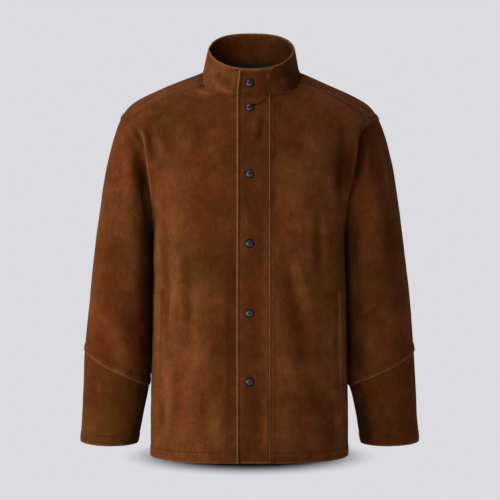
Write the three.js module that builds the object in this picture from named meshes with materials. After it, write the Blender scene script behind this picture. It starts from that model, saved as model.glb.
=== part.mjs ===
// Welding jacket of suede leather, hollow, in the shape that a wearer gives it.
// Millimetres. X points to the wearer's left, Y to the back, Z up. The origin is the centre of the
// neck opening, level with the points where the shoulders meet the collar.
import * as THREE from 'three';

// ---- Driving dimensions ----
const LEATHER = 2;            // body leather
const COLLAR_WALL = 3;        // two layers of thinner leather
const FLAP_WALL = 2.2;
const WELT_WALL = 1.6;
const LINING_WALL = 1;
const SEAM_GAP = 0.3;         // between two pieces that are sewn together
const LIFT = 0.5;             // between a piece and the panel that it lies on
const SQUARE = 3;             // how square a section of the body is: 2 is an ellipse
const SLEEVE_SQUARE = 2.2;
const UNDERARM = -298;        // height of the lowest point of the armholes
const ARMHOLE_TOP = -90;
const NECK_SHARE = 1 / 3;     // share of a half panel's width that ends at the neck seam
const ROUND = { front: { neck: 1.45, shoulder: 2 }, back: { neck: 2, shoulder: 2.1 } };
// The back pulls smooth above one height, out to a distance, both reached over a length.
const SMOOTH = { times: 7, above: -350, within: 232, over: 60 };
const SEAM_START = 1 / 4;     // where on a half panel the shoulder seam leaves the neck seam
const FLAP = { right: -24, left: 40, top: 0.96 };   // side edges, and how far it goes up the collar
const SNAP = { radius: 8.6, dome: 3, edge: 1.2 };
const SNAP_HEIGHTS = [-28, -77, -202, -332, -462, -590];
const WELT = { bottom: -607, top: -420, from: 0.61, to: 0.775 };   // from, to: share of the half front
const LINING = { columns: 2, rows: 2, top: 0.85 };   // in divisions of the back, and how far up the last one

// Sections of the body below the underarm: half width, and depth in front of and behind the sides.
const BODY = [
  { height: -742, half: 192, front: 130, back: 128 },
  { height: -600, half: 190.5, front: 129, back: 128 },
  { height: -440, half: 187, front: 128.5, back: 128 },
  { height: UNDERARM, half: 186, front: 128, back: 127 },
];
const HEM = { side: -738, front: -742, back: -741 };

// The armhole, round from its top (0) by the front (90) and the underarm (180) to the back (270).
const ARMHOLE = [
  { turn: 0, x: 251, y: 0 },
  { turn: 20, x: 230, y: -34 },
  { turn: 45, x: 207.5, y: -62 },
  { turn: 70, x: 198.5, y: -76 },
  { turn: 95, x: 192.5, y: -80 },
  { turn: 120, x: 187, y: -70 },
  { turn: 150, x: 186, y: -41 },
  { turn: 180, x: 186, y: 0 },
  { turn: 210, x: 186, y: 42 },
  { turn: 240, x: 187, y: 69 },
  { turn: 265, x: 195, y: 78 },
  { turn: 290, x: 206, y: 73 },
  { turn: 315, x: 220, y: 57 },
  { turn: 340, x: 238, y: 31 },
  { turn: 360, x: 251, y: 0 },
];

// The neck seam and the collar's rim: flat sizes, how square each is, and its rise and fall.
const NECK_SEAM = { half: 94.5, front: 85, back: 76, square: 3, side: 2, drop: 53, dropBend: 0.75, rise: 26,
  riseBend: 1.8, shift: 0 };
const RIM = { half: 84.6, front: 75, back: 70, square: 2.4, side: 49, drop: 48, dropBend: 1.35, rise: 38,
  riseBend: 1.3, shift: 4 };

// Top line of the shoulder from the neck seam to the armhole, as a curve with two handles.
const SHOULDER = { neckHandle: [119.6, -47], armHandle: [-18.3, 42.2] };

// The shoulder seam lies this far in front of the top line.
const SHOULDER_SEAM = [
  { across: SEAM_START, forward: 46 },
  { across: 0.5, forward: 54 },
  { across: 0.75, forward: 50 },
  { across: 1, forward: 36 },
];

// Level sections of the sleeve: outer edge, edge beside the body, and half depth.
const SLEEVE = [
  { height: -722, outer: 330, inner: 217.5, deep: 54 },
  { height: -650, outer: 325.7, inner: 204.6, deep: 61 },
  { height: -590, outer: 322.8, inner: 194, deep: 67 },
  { height: -530, outer: 319.5, inner: 191.2, deep: 71 },
  { height: -450, outer: 312.6, inner: 189.6, deep: 76 },
  { height: -380, outer: 305.3, inner: 188.3, deep: 80 },
  { height: -310, outer: 296.8, inner: 188, deep: 84 },
];
const CAP_END = { outer: -330, inner: -313 };
const FOREARM_SEAM = { outer: -538, inner: -607, dip: 4.5 };
const CUFF = { outer: -714, inner: -718, dip: 3 };

// Largest folds, each along a line as seen from the front or the back: rise is out (+) or in (-).
const BODY_FOLDS = {
  front: [
    { x1: 68, z1: -368, x2: 106, z2: -505, wide: 26, rise: -5 },
    { x1: 106, z1: -505, x2: 132, z2: -640, wide: 28, rise: -5 },
    { x1: 165, z1: -140, x2: 160, z2: -235, wide: 16, rise: -5 },
    { x1: -137, z1: -320, x2: -146, z2: -520, wide: 18, rise: 3 },
    { x1: -146, z1: -520, x2: -126, z2: -690, wide: 18, rise: 3 },
  ],
  back: [
    { x1: -150, z1: -190, x2: -96, z2: -420, wide: 28, rise: -5 },
    { x1: 152, z1: -200, x2: 104, z2: -400, wide: 26, rise: -5 },
    { x1: -60, z1: -480, x2: -78, z2: -690, wide: 26, rise: 4 },
    { x1: 84, z1: -450, x2: 66, z2: -680, wide: 30, rise: 4 },
  ],
};
// Folds of the sleeves: x1, x2 are distances from the middle of the garment.
const SLEEVE_FOLDS = [
  { side: -1, x1: 232, z1: -140, x2: 206, z2: -235, wide: 13, rise: -4 },
  { side: -1, x1: 262, z1: -470, x2: 222, z2: -520, wide: 18, rise: -4 },
  { side: 1, x1: 226, z1: -150, x2: 208, z2: -240, wide: 13, rise: -4 },
  { side: 1, x1: 272, z1: -440, x2: 218, z2: -490, wide: 18, rise: -4 },
];

// How finely the pieces are divided.
const ACROSS = 12;            // a half panel from the middle to its side
const LOWER_ROWS = 9;         // hem to underarm
const SEAM_ROWS = 9;          // underarm to the shoulder seam
const YOKE_ROWS = 1;          // shoulder seam to the top line
const CAP_ROWS = 5;
const SLEEVE_ROWS = 5;
const FOREARM_ROWS = 4;
const COLLAR_ROWS = 3;

const QUARTER = Math.PI / 2;
const { sin, cos, acos, abs, sign, sqrt, PI, min, max } = Math;
const rad = THREE.MathUtils.degToRad;
const mix = THREE.MathUtils.lerp;
const ease = (t) => THREE.MathUtils.smoothstep(t, 0, 1);
const vec = (x, y, z) => new THREE.Vector3(x, y, z);

/**
 * Reads every column of a table at a value of its first column, on a smooth curve through the rows.
 * The rows of a closed table go once round, by its period.
 */
function readTable(rows, value, period = 0) {
  const [key, ...columns] = Object.keys(rows[0]);
  const last = rows.length - 1;
  const at = min(max(value, rows[0][key]), rows[last][key]);
  let i = rows.findIndex((row) => row[key] >= at) - 1;
  i = max(i, 0);
  const span = rows[i + 1][key] - rows[i][key];
  const t = (at - rows[i][key]) / span;
  const slope = (k, column) => {
    const turned = period && (k === 0 || k === last);
    const low = rows[turned ? last - 1 : max(k - 1, 0)];
    const high = rows[turned ? 1 : min(k + 1, last)];
    return (high[column] - low[column]) / (high[key] - low[key] + (turned ? period : 0));
  };
  const out = {};
  for (const column of columns) {
    const [a, b] = [rows[i][column], rows[i + 1][column]];
    const [p, q] = [slope(i, column) * span, slope(i + 1, column) * span];
    out[column] = a + t * (p + t * (3 * (b - a) - 2 * p - q + t * (2 * (a - b) + p + q)));
  }
  return out;
}

/** A quarter of a squared ellipse: [sideways, deep] at turn 0 (the middle) to a quarter turn (the side). */
function quarter(half, deep, turn, square) {
  return [half * max(sin(turn), 0) ** (2 / square), deep * max(cos(turn), 0) ** (2 / square)];
}

/** Height that the folds of a list add at a place seen from the front or the back. */
function foldRise(folds, x, z) {
  let rise = 0;
  for (const fold of folds) {
    const [dx, dz] = [fold.x2 - fold.x1, fold.z2 - fold.z1];
    const along = min(max(((x - fold.x1) * dx + (z - fold.z1) * dz) / (dx * dx + dz * dz), 0), 1);
    const away = Math.hypot(x - fold.x1 - along * dx, z - fold.z1 - along * dz);
    rise += fold.rise * Math.exp(-((away / fold.wide) ** 2));
  }
  return rise;
}

function armholePoint(turn) {
  const { x, y } = readTable(ARMHOLE, turn, 360);
  const middle = (ARMHOLE_TOP + UNDERARM) / 2;
  return vec(x, y, middle + (ARMHOLE_TOP - middle) * cos(rad(turn)));
}

/** A point of the neck seam or the rim: turn 0 is the centre front, 180 the centre back, + to the left. */
function ringPoint(ring, turn) {
  const angle = rad(abs(turn));
  const front = cos(angle) > 0;
  const [x, y] = quarter(ring.half, front ? ring.front : ring.back, angle < QUARTER ? angle : PI - angle, ring.square);
  const z = front
    ? ring.side - ring.drop * (y / ring.front) ** ring.dropBend
    : ring.side + ring.rise * (y / ring.back) ** ring.riseBend;
  return vec(sign(turn) * x + ring.shift, front ? -y : y, z);
}

const collarPoint = (turn, up) => ringPoint(NECK_SEAM, turn).lerp(ringPoint(RIM, turn), up);

const SHOULDER_LINE = (() => {
  const neck = vec(NECK_SEAM.half, 0, NECK_SEAM.side);
  const arm = armholePoint(0);
  const [a, b] = [SHOULDER.neckHandle, SHOULDER.armHandle];
  return new THREE.CubicBezierCurve3(neck, vec(neck.x + a[0], 0, neck.z + a[1]),
    vec(arm.x + b[0], 0, arm.z + b[1]), arm);
})();

/** Top edge of a half panel: the neck seam, then the top line of the shoulder. */
function topPoint(face, across) {
  if (across > NECK_SHARE) return SHOULDER_LINE.getPointAt((across - NECK_SHARE) / (1 - NECK_SHARE));
  const turn = 90 * across / NECK_SHARE;
  const point = ringPoint(NECK_SEAM, face === 'front' ? turn : 180 - turn);
  return point.setX(abs(point.x));
}

const climbOf = (up) => (1 - cos(PI * up)) / 2;
/** How roundly a column closes onto the top edge: 1 is a lean, 2 a round shoulder, 3 a broad one. */
function roundness(face, across) {
  const { neck, shoulder } = ROUND[face];
  return across < NECK_SHARE
    ? mix(1, neck, ease(across / NECK_SHARE))
    : mix(neck, shoulder, ease((across - NECK_SHARE) / NECK_SHARE));
}

/** The section at one height above the underarm, if the shoulders did not close it: its width and its end. */
function openSection(face, up) {
  const reach = min(up, 0.995);
  const arm = armholePoint(face === 'front' ? 180 * (1 - reach) : 180 * (1 + reach));
  const depth = readTable(BODY, UNDERARM)[face];
  const open = abs(arm.y) / sqrt(1 - climbOf(reach) ** 3);
  const end = acos(min(open / depth, 1) ** (SQUARE / 2));
  return { half: arm.x / sin(end) ** (2 / SQUARE), depth, end };
}

/**
 * A point on the outside of the body, right side positive: across runs from the middle (0) to the side
 * seam or the armhole (1); up from the hem (-1) by the underarm (0) to the neck and shoulder line (1).
 */
function bodyPoint(face, across, up) {
  const facing = face === 'front' ? -1 : 1;
  if (up <= 0) {
    const hem = mix(HEM[face], HEM.side, ease(across));
    const height = mix(UNDERARM, hem, -up);
    const row = readTable(BODY, height);
    const [x, y] = quarter(row.half, row[face], across * QUARTER, SQUARE);
    return vec(x, facing * y, height);
  }
  const climb = climbOf(up);
  const top = topPoint(face, across);
  const section = openSection(face, up);
  const [x, y] = quarter(section.half, section.depth, across * section.end, SQUARE);
  const last = openSection(face, 1);
  const [topX] = quarter(last.half, last.depth, across * last.end, SQUARE);
  const [lowX] = quarter(readTable(BODY, UNDERARM).half, 0, across * QUARTER, SQUARE);
  const beside = x + (top.x - topX) * climb ** 2;         // holds near the armhole
  const above = mix(lowX, top.x, climb);                  // holds below the neck
  const closing = (1 - climb ** 3) ** (1 / roundness(face, across));
  return vec(mix(above, beside, ease((across - 0.25) / 0.6)), mix(top.y, facing * y, closing),
    mix(UNDERARM, top.z, climb));
}

/** How far up the front the shoulder seam lies. */
function seamUp(across) {
  if (across <= SEAM_START) return 1;
  const { forward } = readTable(SHOULDER_SEAM, across);
  const section = openSection('front', 1);
  const [, open] = quarter(section.half, section.depth, across * section.end, SQUARE);
  const top = abs(topPoint('front', across).y);
  const closing = min((forward - top) / (open - top), 1);
  const climb = (1 - closing ** roundness('front', across)) ** (1 / 3);
  return acos(1 - 2 * climb) / PI;
}

/** Moves a point of the body out by the folds, which fade towards the seams. */
function folded(face, side, across, up) {
  const point = bodyPoint(face, across, up);
  point.x *= side;
  const fade = ease((1 - across) * 6) * ease((1 - up) * 4);
  const rise = foldRise(BODY_FOLDS[face], point.x, point.z) * fade;
  const out = vec(point.x / 186, point.y / 60, 0).normalize();
  return point.addScaledVector(out, rise);
}

/** A point of the sleeve as a level tube: turn 0 is its outer edge, 90 the front, 180 beside the body. */
function tubePoint(turn, height) {
  const { outer, inner, deep } = readTable(SLEEVE, height);
  const [c, s] = [cos(rad(turn)), sin(rad(turn))];
  const bend = 2 / SLEEVE_SQUARE;
  const x = (outer + inner) / 2 + sign(c) * abs(c) ** bend * (outer - inner) / 2;
  return vec(x, -sign(s) * abs(s) ** bend * deep, height);
}

/** Height of a ring of the sleeve that slants from its outer to its inner edge. */
function ringHeight(ring, turn) {
  const share = (1 - cos(rad(turn))) / 2;
  return mix(ring.outer, ring.inner, share) - (ring.dip ?? 0) * sin(rad(turn)) ** 2;
}

/** A point of the sleeve's cap, from the armhole (0) to the first whole ring (1). */
function capPoint(turn, down) {
  const start = armholePoint(turn);
  const height = ringHeight(CAP_END, turn);
  const end = tubePoint(turn, height);
  const [c, s] = [cos(rad(turn)), sin(rad(turn))];
  const out = vec(0.265 + 0.145 * c + 0.335 * s * s, -0.15 * s, 0);
  out.z = -sqrt(1 - out.x ** 2 - out.y ** 2);
  const below = tubePoint(turn, height - 10).sub(end).normalize();
  const reach = start.distanceTo(end) / 3;
  const handle = start.clone().addScaledVector(out, reach * 0.85);
  return new THREE.CubicBezierCurve3(start, handle, end.clone().addScaledVector(below, -reach), end).getPoint(down);
}

/** Moves a point of the sleeve by its folds; fade is 0 at the armhole. */
function foldedSleeve(side, turn, point, fade = 1) {
  const facing = max(sin(rad(turn)), 0) * fade;
  const folds = SLEEVE_FOLDS.filter((fold) => fold.side === side);
  const rise = foldRise(folds, point.x, point.z) * facing;
  return vec(side * point.x, point.y - rise, point.z);
}

const DIAGONAL = vec(0.31, 0.52, 0.8);

// ---- Sheets: the outside surface of each piece, before it gets its thickness ----

/** A surface of welded triangles that grids of points are added to. */
class Sheet {
  constructor(wall, offset = 0) {
    Object.assign(this, { wall, offset, points: [], faces: [], corners: [], seen: new Map() });
  }

  index(point) {
    const key = point.toArray().map((value) => Math.round(value * 200)).join();
    if (!this.seen.has(key)) {
      this.seen.set(key, this.points.length);
      this.points.push(point);
    }
    return this.seen.get(key);
  }

  /** Adds a grid of points, rows by columns; inside is a point behind the grid's middle. */
  grid(rows, columns, pointAt, inside) {
    const at = (i, j) => pointAt(i / rows, j / columns, i, j);
    const corner = [];
    for (let i = 0; i <= rows; i += 1) {
      corner.push([]);
      for (let j = 0; j <= columns; j += 1) corner[i].push(this.index(at(i, j)));
    }
    const faces = [];
    for (let i = 0; i < rows; i += 1) {
      for (let j = 0; j < columns; j += 1) {
        const [a, b, c, d] = [corner[i][j], corner[i][j + 1], corner[i + 1][j + 1], corner[i + 1][j]];
        faces.push([a, b, c], [a, c, d]);
      }
    }
    const whole = faces.filter(([a, b, c]) => a !== b && b !== c && c !== a);
    const middle = whole[(whole.length / 2) | 0];
    const [a, b, c] = middle.map((k) => this.points[k]);
    const normal = b.clone().sub(a).cross(c.clone().sub(a));
    const outward = normal.dot(a.clone().sub(inside(a))) > 0;
    this.faces.push(...(outward ? whole : whole.map(([p, q, r]) => [p, r, q])));
    this.corners.push(corner);
    return this;
  }

  /** Lets the cloth pull smooth between its borders and the shoulders' top line, which stay. */
  smooth({ times, above, within, over }) {
    const beside = this.points.map(() => new Set());
    for (const face of this.faces) {
      for (const k of face) face.forEach((other) => other !== k && beside[k].add(other));
    }
    const held = new Set(this.border().flat());
    for (let i = 0; i < times; i += 1) {
      this.points = this.points.map((point, k) => {
        if (held.has(k) || abs(point.y) < SEAM_GAP) return point;
        const mean = vec(0, 0, 0);
        for (const other of beside[k]) mean.addScaledVector(this.points[other], 1 / beside[k].size);
        const give = ease((point.z - above) / over) * ease((within - abs(point.x)) / over);
        return point.clone().lerp(mean, give / 2);
      });
    }
    return this;
  }

  normals() {
    this.normal = this.points.map(() => vec(0, 0, 0));
    this.depth = this.points.map(() => this.wall);
    for (const face of this.faces) {
      const [a, b, c] = face.map((k) => this.points[k]);
      const n = b.clone().sub(a).cross(c.clone().sub(a));
      for (const k of face) this.normal[k].add(n);
    }
    this.normal.forEach((n) => n.normalize());
  }

  /** The edges that only one triangle has, as [from, to] pairs in that triangle's order. */
  border() {
    const count = new Map();
    const edges = this.faces.flatMap(([a, b, c]) => [[a, b], [b, c], [c, a]]);
    for (const [a, b] of edges) {
      const key = min(a, b) + ',' + max(a, b);
      count.set(key, (count.get(key) ?? 0) + 1);
    }
    return edges.filter(([a, b]) => count.get(min(a, b) + ',' + max(a, b)) === 1);
  }

  /** Draws the border back into the sheet by half the gap that a seam keeps. */
  shrink() {
    const pull = new Map();
    for (const [a, b] of this.border()) {
      for (const k of [a, b]) {
        const out = this.points[b].clone().sub(this.points[a]).cross(this.normal[k]).normalize();
        pull.set(k, [...(pull.get(k) ?? []), out]);
      }
    }
    for (const [k, [p, q]] of pull) {
      const both = p.clone().add(q).divideScalar(max(1 + p.dot(q), 0.3));
      this.points[k].addScaledVector(both, -SEAM_GAP / 2);
    }
  }

  /** The closed wall: the sheet, a second one behind it, and a strip round the border. */
  geometry() {
    const n = this.points.length;
    const outer = this.points.map((p, k) => p.clone().addScaledVector(this.normal[k], this.offset));
    const inner = outer.map((p, k) => p.clone().addScaledVector(this.normal[k], -this.depth[k]));
    // Both pieces at a seam split its strip along the same diagonal, so the strips stay apart.
    const strip = ([a, b]) => (this.points[a].dot(DIAGONAL) < this.points[b].dot(DIAGONAL)
      ? [[b, a, a + n], [b, a + n, b + n]]
      : [[b, a, b + n], [a, a + n, b + n]]);
    const index = [
      ...this.faces,
      ...this.faces.map(([a, b, c]) => [a + n, c + n, b + n]),
      ...this.border().flatMap(strip),
    ].flat();
    const geometry = new THREE.BufferGeometry();
    geometry.setAttribute('position', new THREE.Float32BufferAttribute(
      [...outer, ...inner].flatMap((p) => p.toArray()), 3));
    geometry.setIndex(index);
    geometry.computeVertexNormals();
    return geometry;
  }
}

const axis = (p) => vec(0, 0, p.z);
const sleeveAxis = (side) => (p) => vec(side * (p.z > -400 ? 235 : 258), 0, p.z);

/** How far up the body each row of a panel lies, from hem to top. */
const frontUp = (row, across) => (row <= LOWER_ROWS
  ? row / LOWER_ROWS - 1
  : (row - LOWER_ROWS) / SEAM_ROWS * seamUp(across));
const backUp = (row) => (row <= LOWER_ROWS ? row / LOWER_ROWS - 1 : (row - LOWER_ROWS) / (SEAM_ROWS + YOKE_ROWS));

const frontSheet = (side) => new Sheet(LEATHER).grid(LOWER_ROWS + SEAM_ROWS, ACROSS,
  (u, across, row) => folded('front', side, across, frontUp(row, across)), axis);

function backSheet() {
  const sheet = new Sheet(LEATHER);
  for (const side of [-1, 1]) {
    sheet.grid(LOWER_ROWS + SEAM_ROWS + YOKE_ROWS, ACROSS,
      (u, across, row) => folded('back', side, across, backUp(row)), axis);
    const columns = ACROSS * (1 - SEAM_START);
    sheet.grid(YOKE_ROWS, columns, (u, v) => {
      const across = mix(SEAM_START, 1, v);
      return folded('front', side, across, mix(seamUp(across), 1, u));
    }, (p) => vec(p.x, 0, p.z - 100));
  }
  return sheet.smooth(SMOOTH);
}

/** The turns at which the body's rows reach the armhole, in order round it. */
const ARMHOLE_TURNS = (() => {
  const seam = 180 * (1 - seamUp(1));
  const turns = [0];
  for (let i = 1; i <= YOKE_ROWS; i += 1) turns.push(seam * i / YOKE_ROWS);
  for (let i = 1; i <= SEAM_ROWS; i += 1) turns.push(mix(seam, 180, i / SEAM_ROWS));
  const back = SEAM_ROWS + YOKE_ROWS;
  for (let i = 1; i <= back; i += 1) turns.push(180 + 180 * i / back);
  return turns;
})();

const sleeveSheet = (side) => new Sheet(LEATHER)
  .grid(CAP_ROWS, ARMHOLE_TURNS.length - 1,
    (down, v, row, k) => foldedSleeve(side, ARMHOLE_TURNS[k], capPoint(ARMHOLE_TURNS[k], down), ease(down)),
    sleeveAxis(side))
  .grid(SLEEVE_ROWS, ARMHOLE_TURNS.length - 1, (down, v, row, k) => {
    const turn = ARMHOLE_TURNS[k];
    const height = mix(ringHeight(CAP_END, turn), ringHeight(FOREARM_SEAM, turn), down);
    return foldedSleeve(side, turn, tubePoint(turn, height));
  }, sleeveAxis(side));

const forearmSheet = (side) => new Sheet(LEATHER)
  .grid(FOREARM_ROWS, ARMHOLE_TURNS.length - 1, (down, v, row, k) => {
    const turn = ARMHOLE_TURNS[k];
    return foldedSleeve(side, turn, tubePoint(turn, mix(ringHeight(FOREARM_SEAM, turn), ringHeight(CUFF, turn), down)));
  }, sleeveAxis(side));

/** The collar's columns meet those of the panels at the neck seam. */
function collarSheet() {
  const columns = 4 * ACROSS * NECK_SHARE;
  const sheet = new Sheet(COLLAR_WALL);
  for (const side of [-1, 1]) {
    sheet.grid(COLLAR_ROWS, columns / 2, (up, v) => collarPoint(side * (v === 0 ? 1e-9 : 180 * v), up), axis);
  }
  return sheet;
}

/** Finds where a rising function of 0 to 1 reaches a value. */
function solve(rising, value) {
  let [low, high] = [0, 1];
  for (let i = 0; i < 40; i += 1) {
    const middle = (low + high) / 2;
    if (rising(middle) < value) low = middle; else high = middle;
  }
  return low;
}

function flapOnBody(x, up) {
  const side = x < 0 ? -1 : 1;
  return folded('front', side, solve((across) => bodyPoint('front', across, up).x, abs(x)), up);
}

function flapOnCollar(x, up) {
  const turn = 180 * solve((t) => collarPoint(mix(-90, 90, t), up).x, x) - 90;
  return collarPoint(turn, up);
}

function flapSheet() {
  const columns = 4;
  const across = (v) => mix(FLAP.right, FLAP.left, v);
  return new Sheet(FLAP_WALL, LIFT + FLAP_WALL)
    .grid(LOWER_ROWS + SEAM_ROWS, columns, (u, v, row) => flapOnBody(across(v), frontUp(row, 0)), axis)
    .grid(COLLAR_ROWS, columns, (up, v) => flapOnCollar(across(v), up * FLAP.top), axis);
}

function weltSheet(side) {
  const rise = (height) => -(height - UNDERARM) / (HEM.side - UNDERARM);
  return new Sheet(WELT_WALL, LIFT + WELT_WALL).grid(6, 3, (u, v) => folded('front', side,
    mix(WELT.from, WELT.to, v), mix(rise(WELT.bottom), rise(WELT.top), u)), axis);
}

/** A strip inside the back, just below the neck seam. */
function liningSheet(back) {
  const sheet = new Sheet(LINING_WALL, -LEATHER - 2 * LIFT);
  const lastRow = LOWER_ROWS + SEAM_ROWS + YOKE_ROWS;
  for (const half of back.corners.filter((corner) => corner.length > lastRow)) {
    const onBack = (row, column) => back.points[half[row][column]].clone();
    sheet.grid(LINING.rows, LINING.columns, (u, v, i, j) => {
      const row = lastRow - LINING.rows + i;
      return i < LINING.rows ? onBack(row, j) : onBack(row - 1, j).lerp(onBack(row, j), LINING.top);
    }, axis);
  }
  return sheet;
}

/** A domed snap cap on the flap, turned to face along the flap's surface. */
function snapGeometry() {
  const { radius, dome, edge } = SNAP;
  const profile = [new THREE.Vector2(0, 0), new THREE.Vector2(radius, 0), new THREE.Vector2(radius, edge)];
  for (const turn of [35, 62]) {
    profile.push(new THREE.Vector2(radius * cos(rad(turn)), edge + dome * sin(rad(turn))));
  }
  profile.push(new THREE.Vector2(0, edge + dome));
  return new THREE.LatheGeometry(profile, 14);
}

/** The flap's middle line: a point and its outward direction at a height. */
function flapSpot(height) {
  const onCollar = height > collarPoint(1e-6, 0).z;
  const place = onCollar
    ? (x, up) => flapOnCollar(x, up)
    : (x, up) => flapOnBody(x, up * 2 - 1);
  const up = solve((t) => place(0.01, t).z, height);
  const [point, beside, above] = [place(0.01, up), place(4, up), place(0.01, min(up + 0.01, 1))];
  const normal = beside.sub(point).cross(above.sub(point)).normalize();
  return { point, normal: normal.y > 0 ? normal.negate() : normal };
}

// ---- Materials and the finished group ----

const suede = (color) => new THREE.MeshStandardMaterial({ color, roughness: 0.95, metalness: 0 });
const SUEDE = '#6b3d1c';

const shell = {
  back: backSheet(),
  front_right: frontSheet(-1),
  front_left: frontSheet(1),
  collar: collarSheet(),
  sleeve_right: sleeveSheet(-1),
  sleeve_left: sleeveSheet(1),
  forearm_right: forearmSheet(-1),
  forearm_left: forearmSheet(1),
};
const laid = {
  front_flap: flapSheet(),
  pocket_welt_right: weltSheet(-1),
  pocket_welt_left: weltSheet(1),
  neck_lining: liningSheet(shell.back),
};

/** Pieces that meet at a seam share their thickness and its direction there, so that they meet in a mitre. */
function shareNormals(sheets) {
  const all = sheets.flatMap((sheet) => [...new Set(sheet.border().flat())]
    .map((k) => ({ sheet, k, point: sheet.points[k], own: sheet.normal[k].clone() })));
  for (const { sheet, k, point } of all) {
    const total = vec(0, 0, 0);
    for (const other of all) {
      if (other.point.distanceTo(point) > 0.8) continue;
      total.add(other.own);
      sheet.depth[k] = min(sheet.depth[k], other.sheet.wall);
    }
    if (total.length() > 0.02) sheet.normal[k].copy(total.normalize());
  }
}

for (const sheet of [...Object.values(shell), ...Object.values(laid)]) sheet.normals();
shareNormals(Object.values(shell));
for (const sheet of Object.values(shell)) sheet.shrink();

const jacket = new THREE.Group();
function add(name, geometry, material) {
  const mesh = new THREE.Mesh(geometry, material);
  mesh.name = name;
  jacket.add(mesh);
  return mesh;
}
for (const [name, sheet] of Object.entries({ ...shell, ...laid })) {
  add(name, sheet.geometry(), suede(name === 'neck_lining' ? '#25211d' : SUEDE));
}
SNAP_HEIGHTS.forEach((height, i) => {
  const material = new THREE.MeshStandardMaterial({ color: '#3c3d3f', roughness: 0.35, metalness: 0.9 });
  const snap = add('snap_' + (i + 1), snapGeometry(), material);
  const { point, normal } = flapSpot(height);
  snap.position.copy(point.addScaledVector(normal, 2 * LIFT + FLAP_WALL));
  snap.quaternion.setFromUnitVectors(vec(0, 1, 0), normal);
});

export default jacket;
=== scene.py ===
import math
import bpy
import bmesh
import numpy as np
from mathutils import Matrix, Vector, noise
from mathutils.kdtree import KDTree


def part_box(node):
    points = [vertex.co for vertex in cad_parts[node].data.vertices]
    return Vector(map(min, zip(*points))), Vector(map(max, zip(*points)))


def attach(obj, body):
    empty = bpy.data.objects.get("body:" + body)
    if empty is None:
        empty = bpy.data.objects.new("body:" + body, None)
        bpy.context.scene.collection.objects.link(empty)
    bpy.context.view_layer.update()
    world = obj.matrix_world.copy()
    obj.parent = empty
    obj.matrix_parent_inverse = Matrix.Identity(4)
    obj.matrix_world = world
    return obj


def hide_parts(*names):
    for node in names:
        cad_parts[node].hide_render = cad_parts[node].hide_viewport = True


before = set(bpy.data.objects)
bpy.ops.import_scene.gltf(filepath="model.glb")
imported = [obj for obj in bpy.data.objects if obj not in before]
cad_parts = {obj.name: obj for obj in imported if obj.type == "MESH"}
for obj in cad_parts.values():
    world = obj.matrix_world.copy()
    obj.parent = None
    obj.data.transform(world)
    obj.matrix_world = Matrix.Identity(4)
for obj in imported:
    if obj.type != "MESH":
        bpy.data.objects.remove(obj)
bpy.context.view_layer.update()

# Welding jacket of brushed split leather, filled out and hollow. Forms are worked out in millimetres and
# made into meshes in metres. X points to the wearer's left, Y to the back, Z up.
MM = 0.001
SIDES = {"right": -1, "left": 1}

# ---------------------------------------------------------------- camera

CAMERA = {"place": (0.001, -3.0, -0.344), "lens": 110.8, "sensor": 36.0}


def add_object(name, data):
    made = bpy.data.objects.new(name, data)
    bpy.context.collection.objects.link(made)
    return made


def make_camera():
    data = bpy.data.cameras.new("camera")
    data.lens, data.sensor_width = CAMERA["lens"], CAMERA["sensor"]
    data.clip_end = 50
    camera = add_object("camera", data)
    camera.location = CAMERA["place"]
    camera.rotation_euler = (math.pi / 2, 0, 0)
    bpy.context.scene.camera = camera


make_camera()

# ---------------------------------------------------------------- sizes of the cut


def table(columns, *rows):
    """Rows of sizes, each with its columns' names."""
    return [dict(zip(columns.split(), row)) for row in rows]


LEATHER = 2.0                 # body leather
COLLAR_WALL = 3.0             # two layers of thinner leather
FLAP_WALL = 2.2
WELT_WALL = 1.6
LINING_WALL = 1.0
LIFT = 0.5                    # between a piece and the panel that it lies on
SQUARE = 3.0                  # how square a section of the body is: 2 is an ellipse
SLEEVE_SQUARE = 2.2
UNDERARM = -298.0
ARMHOLE_TOP = -90.0
NECK_SHARE = 1 / 3            # share of a half panel's width that ends at the neck seam
SEAM_START = 1 / 4            # where on a half panel the shoulder seam leaves the neck seam
ROUND = {"front": (1.45, 2.0), "back": (2.0, 2.1)}     # how roundly a panel closes: neck, shoulder
FLAP = {"right": -24.0, "left": 40.0, "top": 0.96, "corner": 5.0}
TURN_UP = 19.0                # depth of the turned-up hems, to their stitching
LAP = {"high": 1.7, "to": 10.0, "ends": 15.0}          # a lapped seam's raised edge
ROWS = (2.0, 6.2)             # the two rows of stitches from a lapped edge
HANG = {"armhole": 6, "neck": 3.6, "sleeve": 5.5}      # how far these move where the jacket hangs unevenly

BODY = table("height half front back", (-742, 192, 130, 128), (-600, 190.5, 129, 128),
             (-440, 187, 128.5, 128), (UNDERARM, 186, 128, 127))
HEM = {"side": -738, "front": -742, "back": -741}

# The armhole, round from its top (0) by the front (90) and the underarm (180) to the back (270).
ARMHOLE = table(
    "turn x y", (0, 251, 0), (20, 230, -34), (45, 207.5, -62), (70, 198.5, -76), (95, 192.5, -80),
    (120, 187, -70), (150, 186, -41), (180, 186, 0), (210, 186, 42), (240, 187, 69), (265, 195, 78),
    (290, 206, 73), (315, 220, 57), (340, 238, 31), (360, 251, 0))

NECK_SEAM = {"half": 94.5, "front": 85, "back": 76, "square": 3, "side": 2, "drop": 53, "drop_bend": 0.75,
             "rise": 26, "rise_bend": 1.8, "shift": 0}
RIM = {"half": 84.6, "front": 75, "back": 70, "square": 2.4, "side": 49, "drop": 48, "drop_bend": 1.35,
       "rise": 38, "rise_bend": 1.3, "shift": 0.5, "back_square": 2.7}
SHOULDER = {"neck_handle": (119.6, -51), "arm_handle": (-18.3, 39.5)}
SHOULDER_SEAM = table("across forward", (SEAM_START, 46), (0.5, 54), (0.75, 50), (1, 36))

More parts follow.
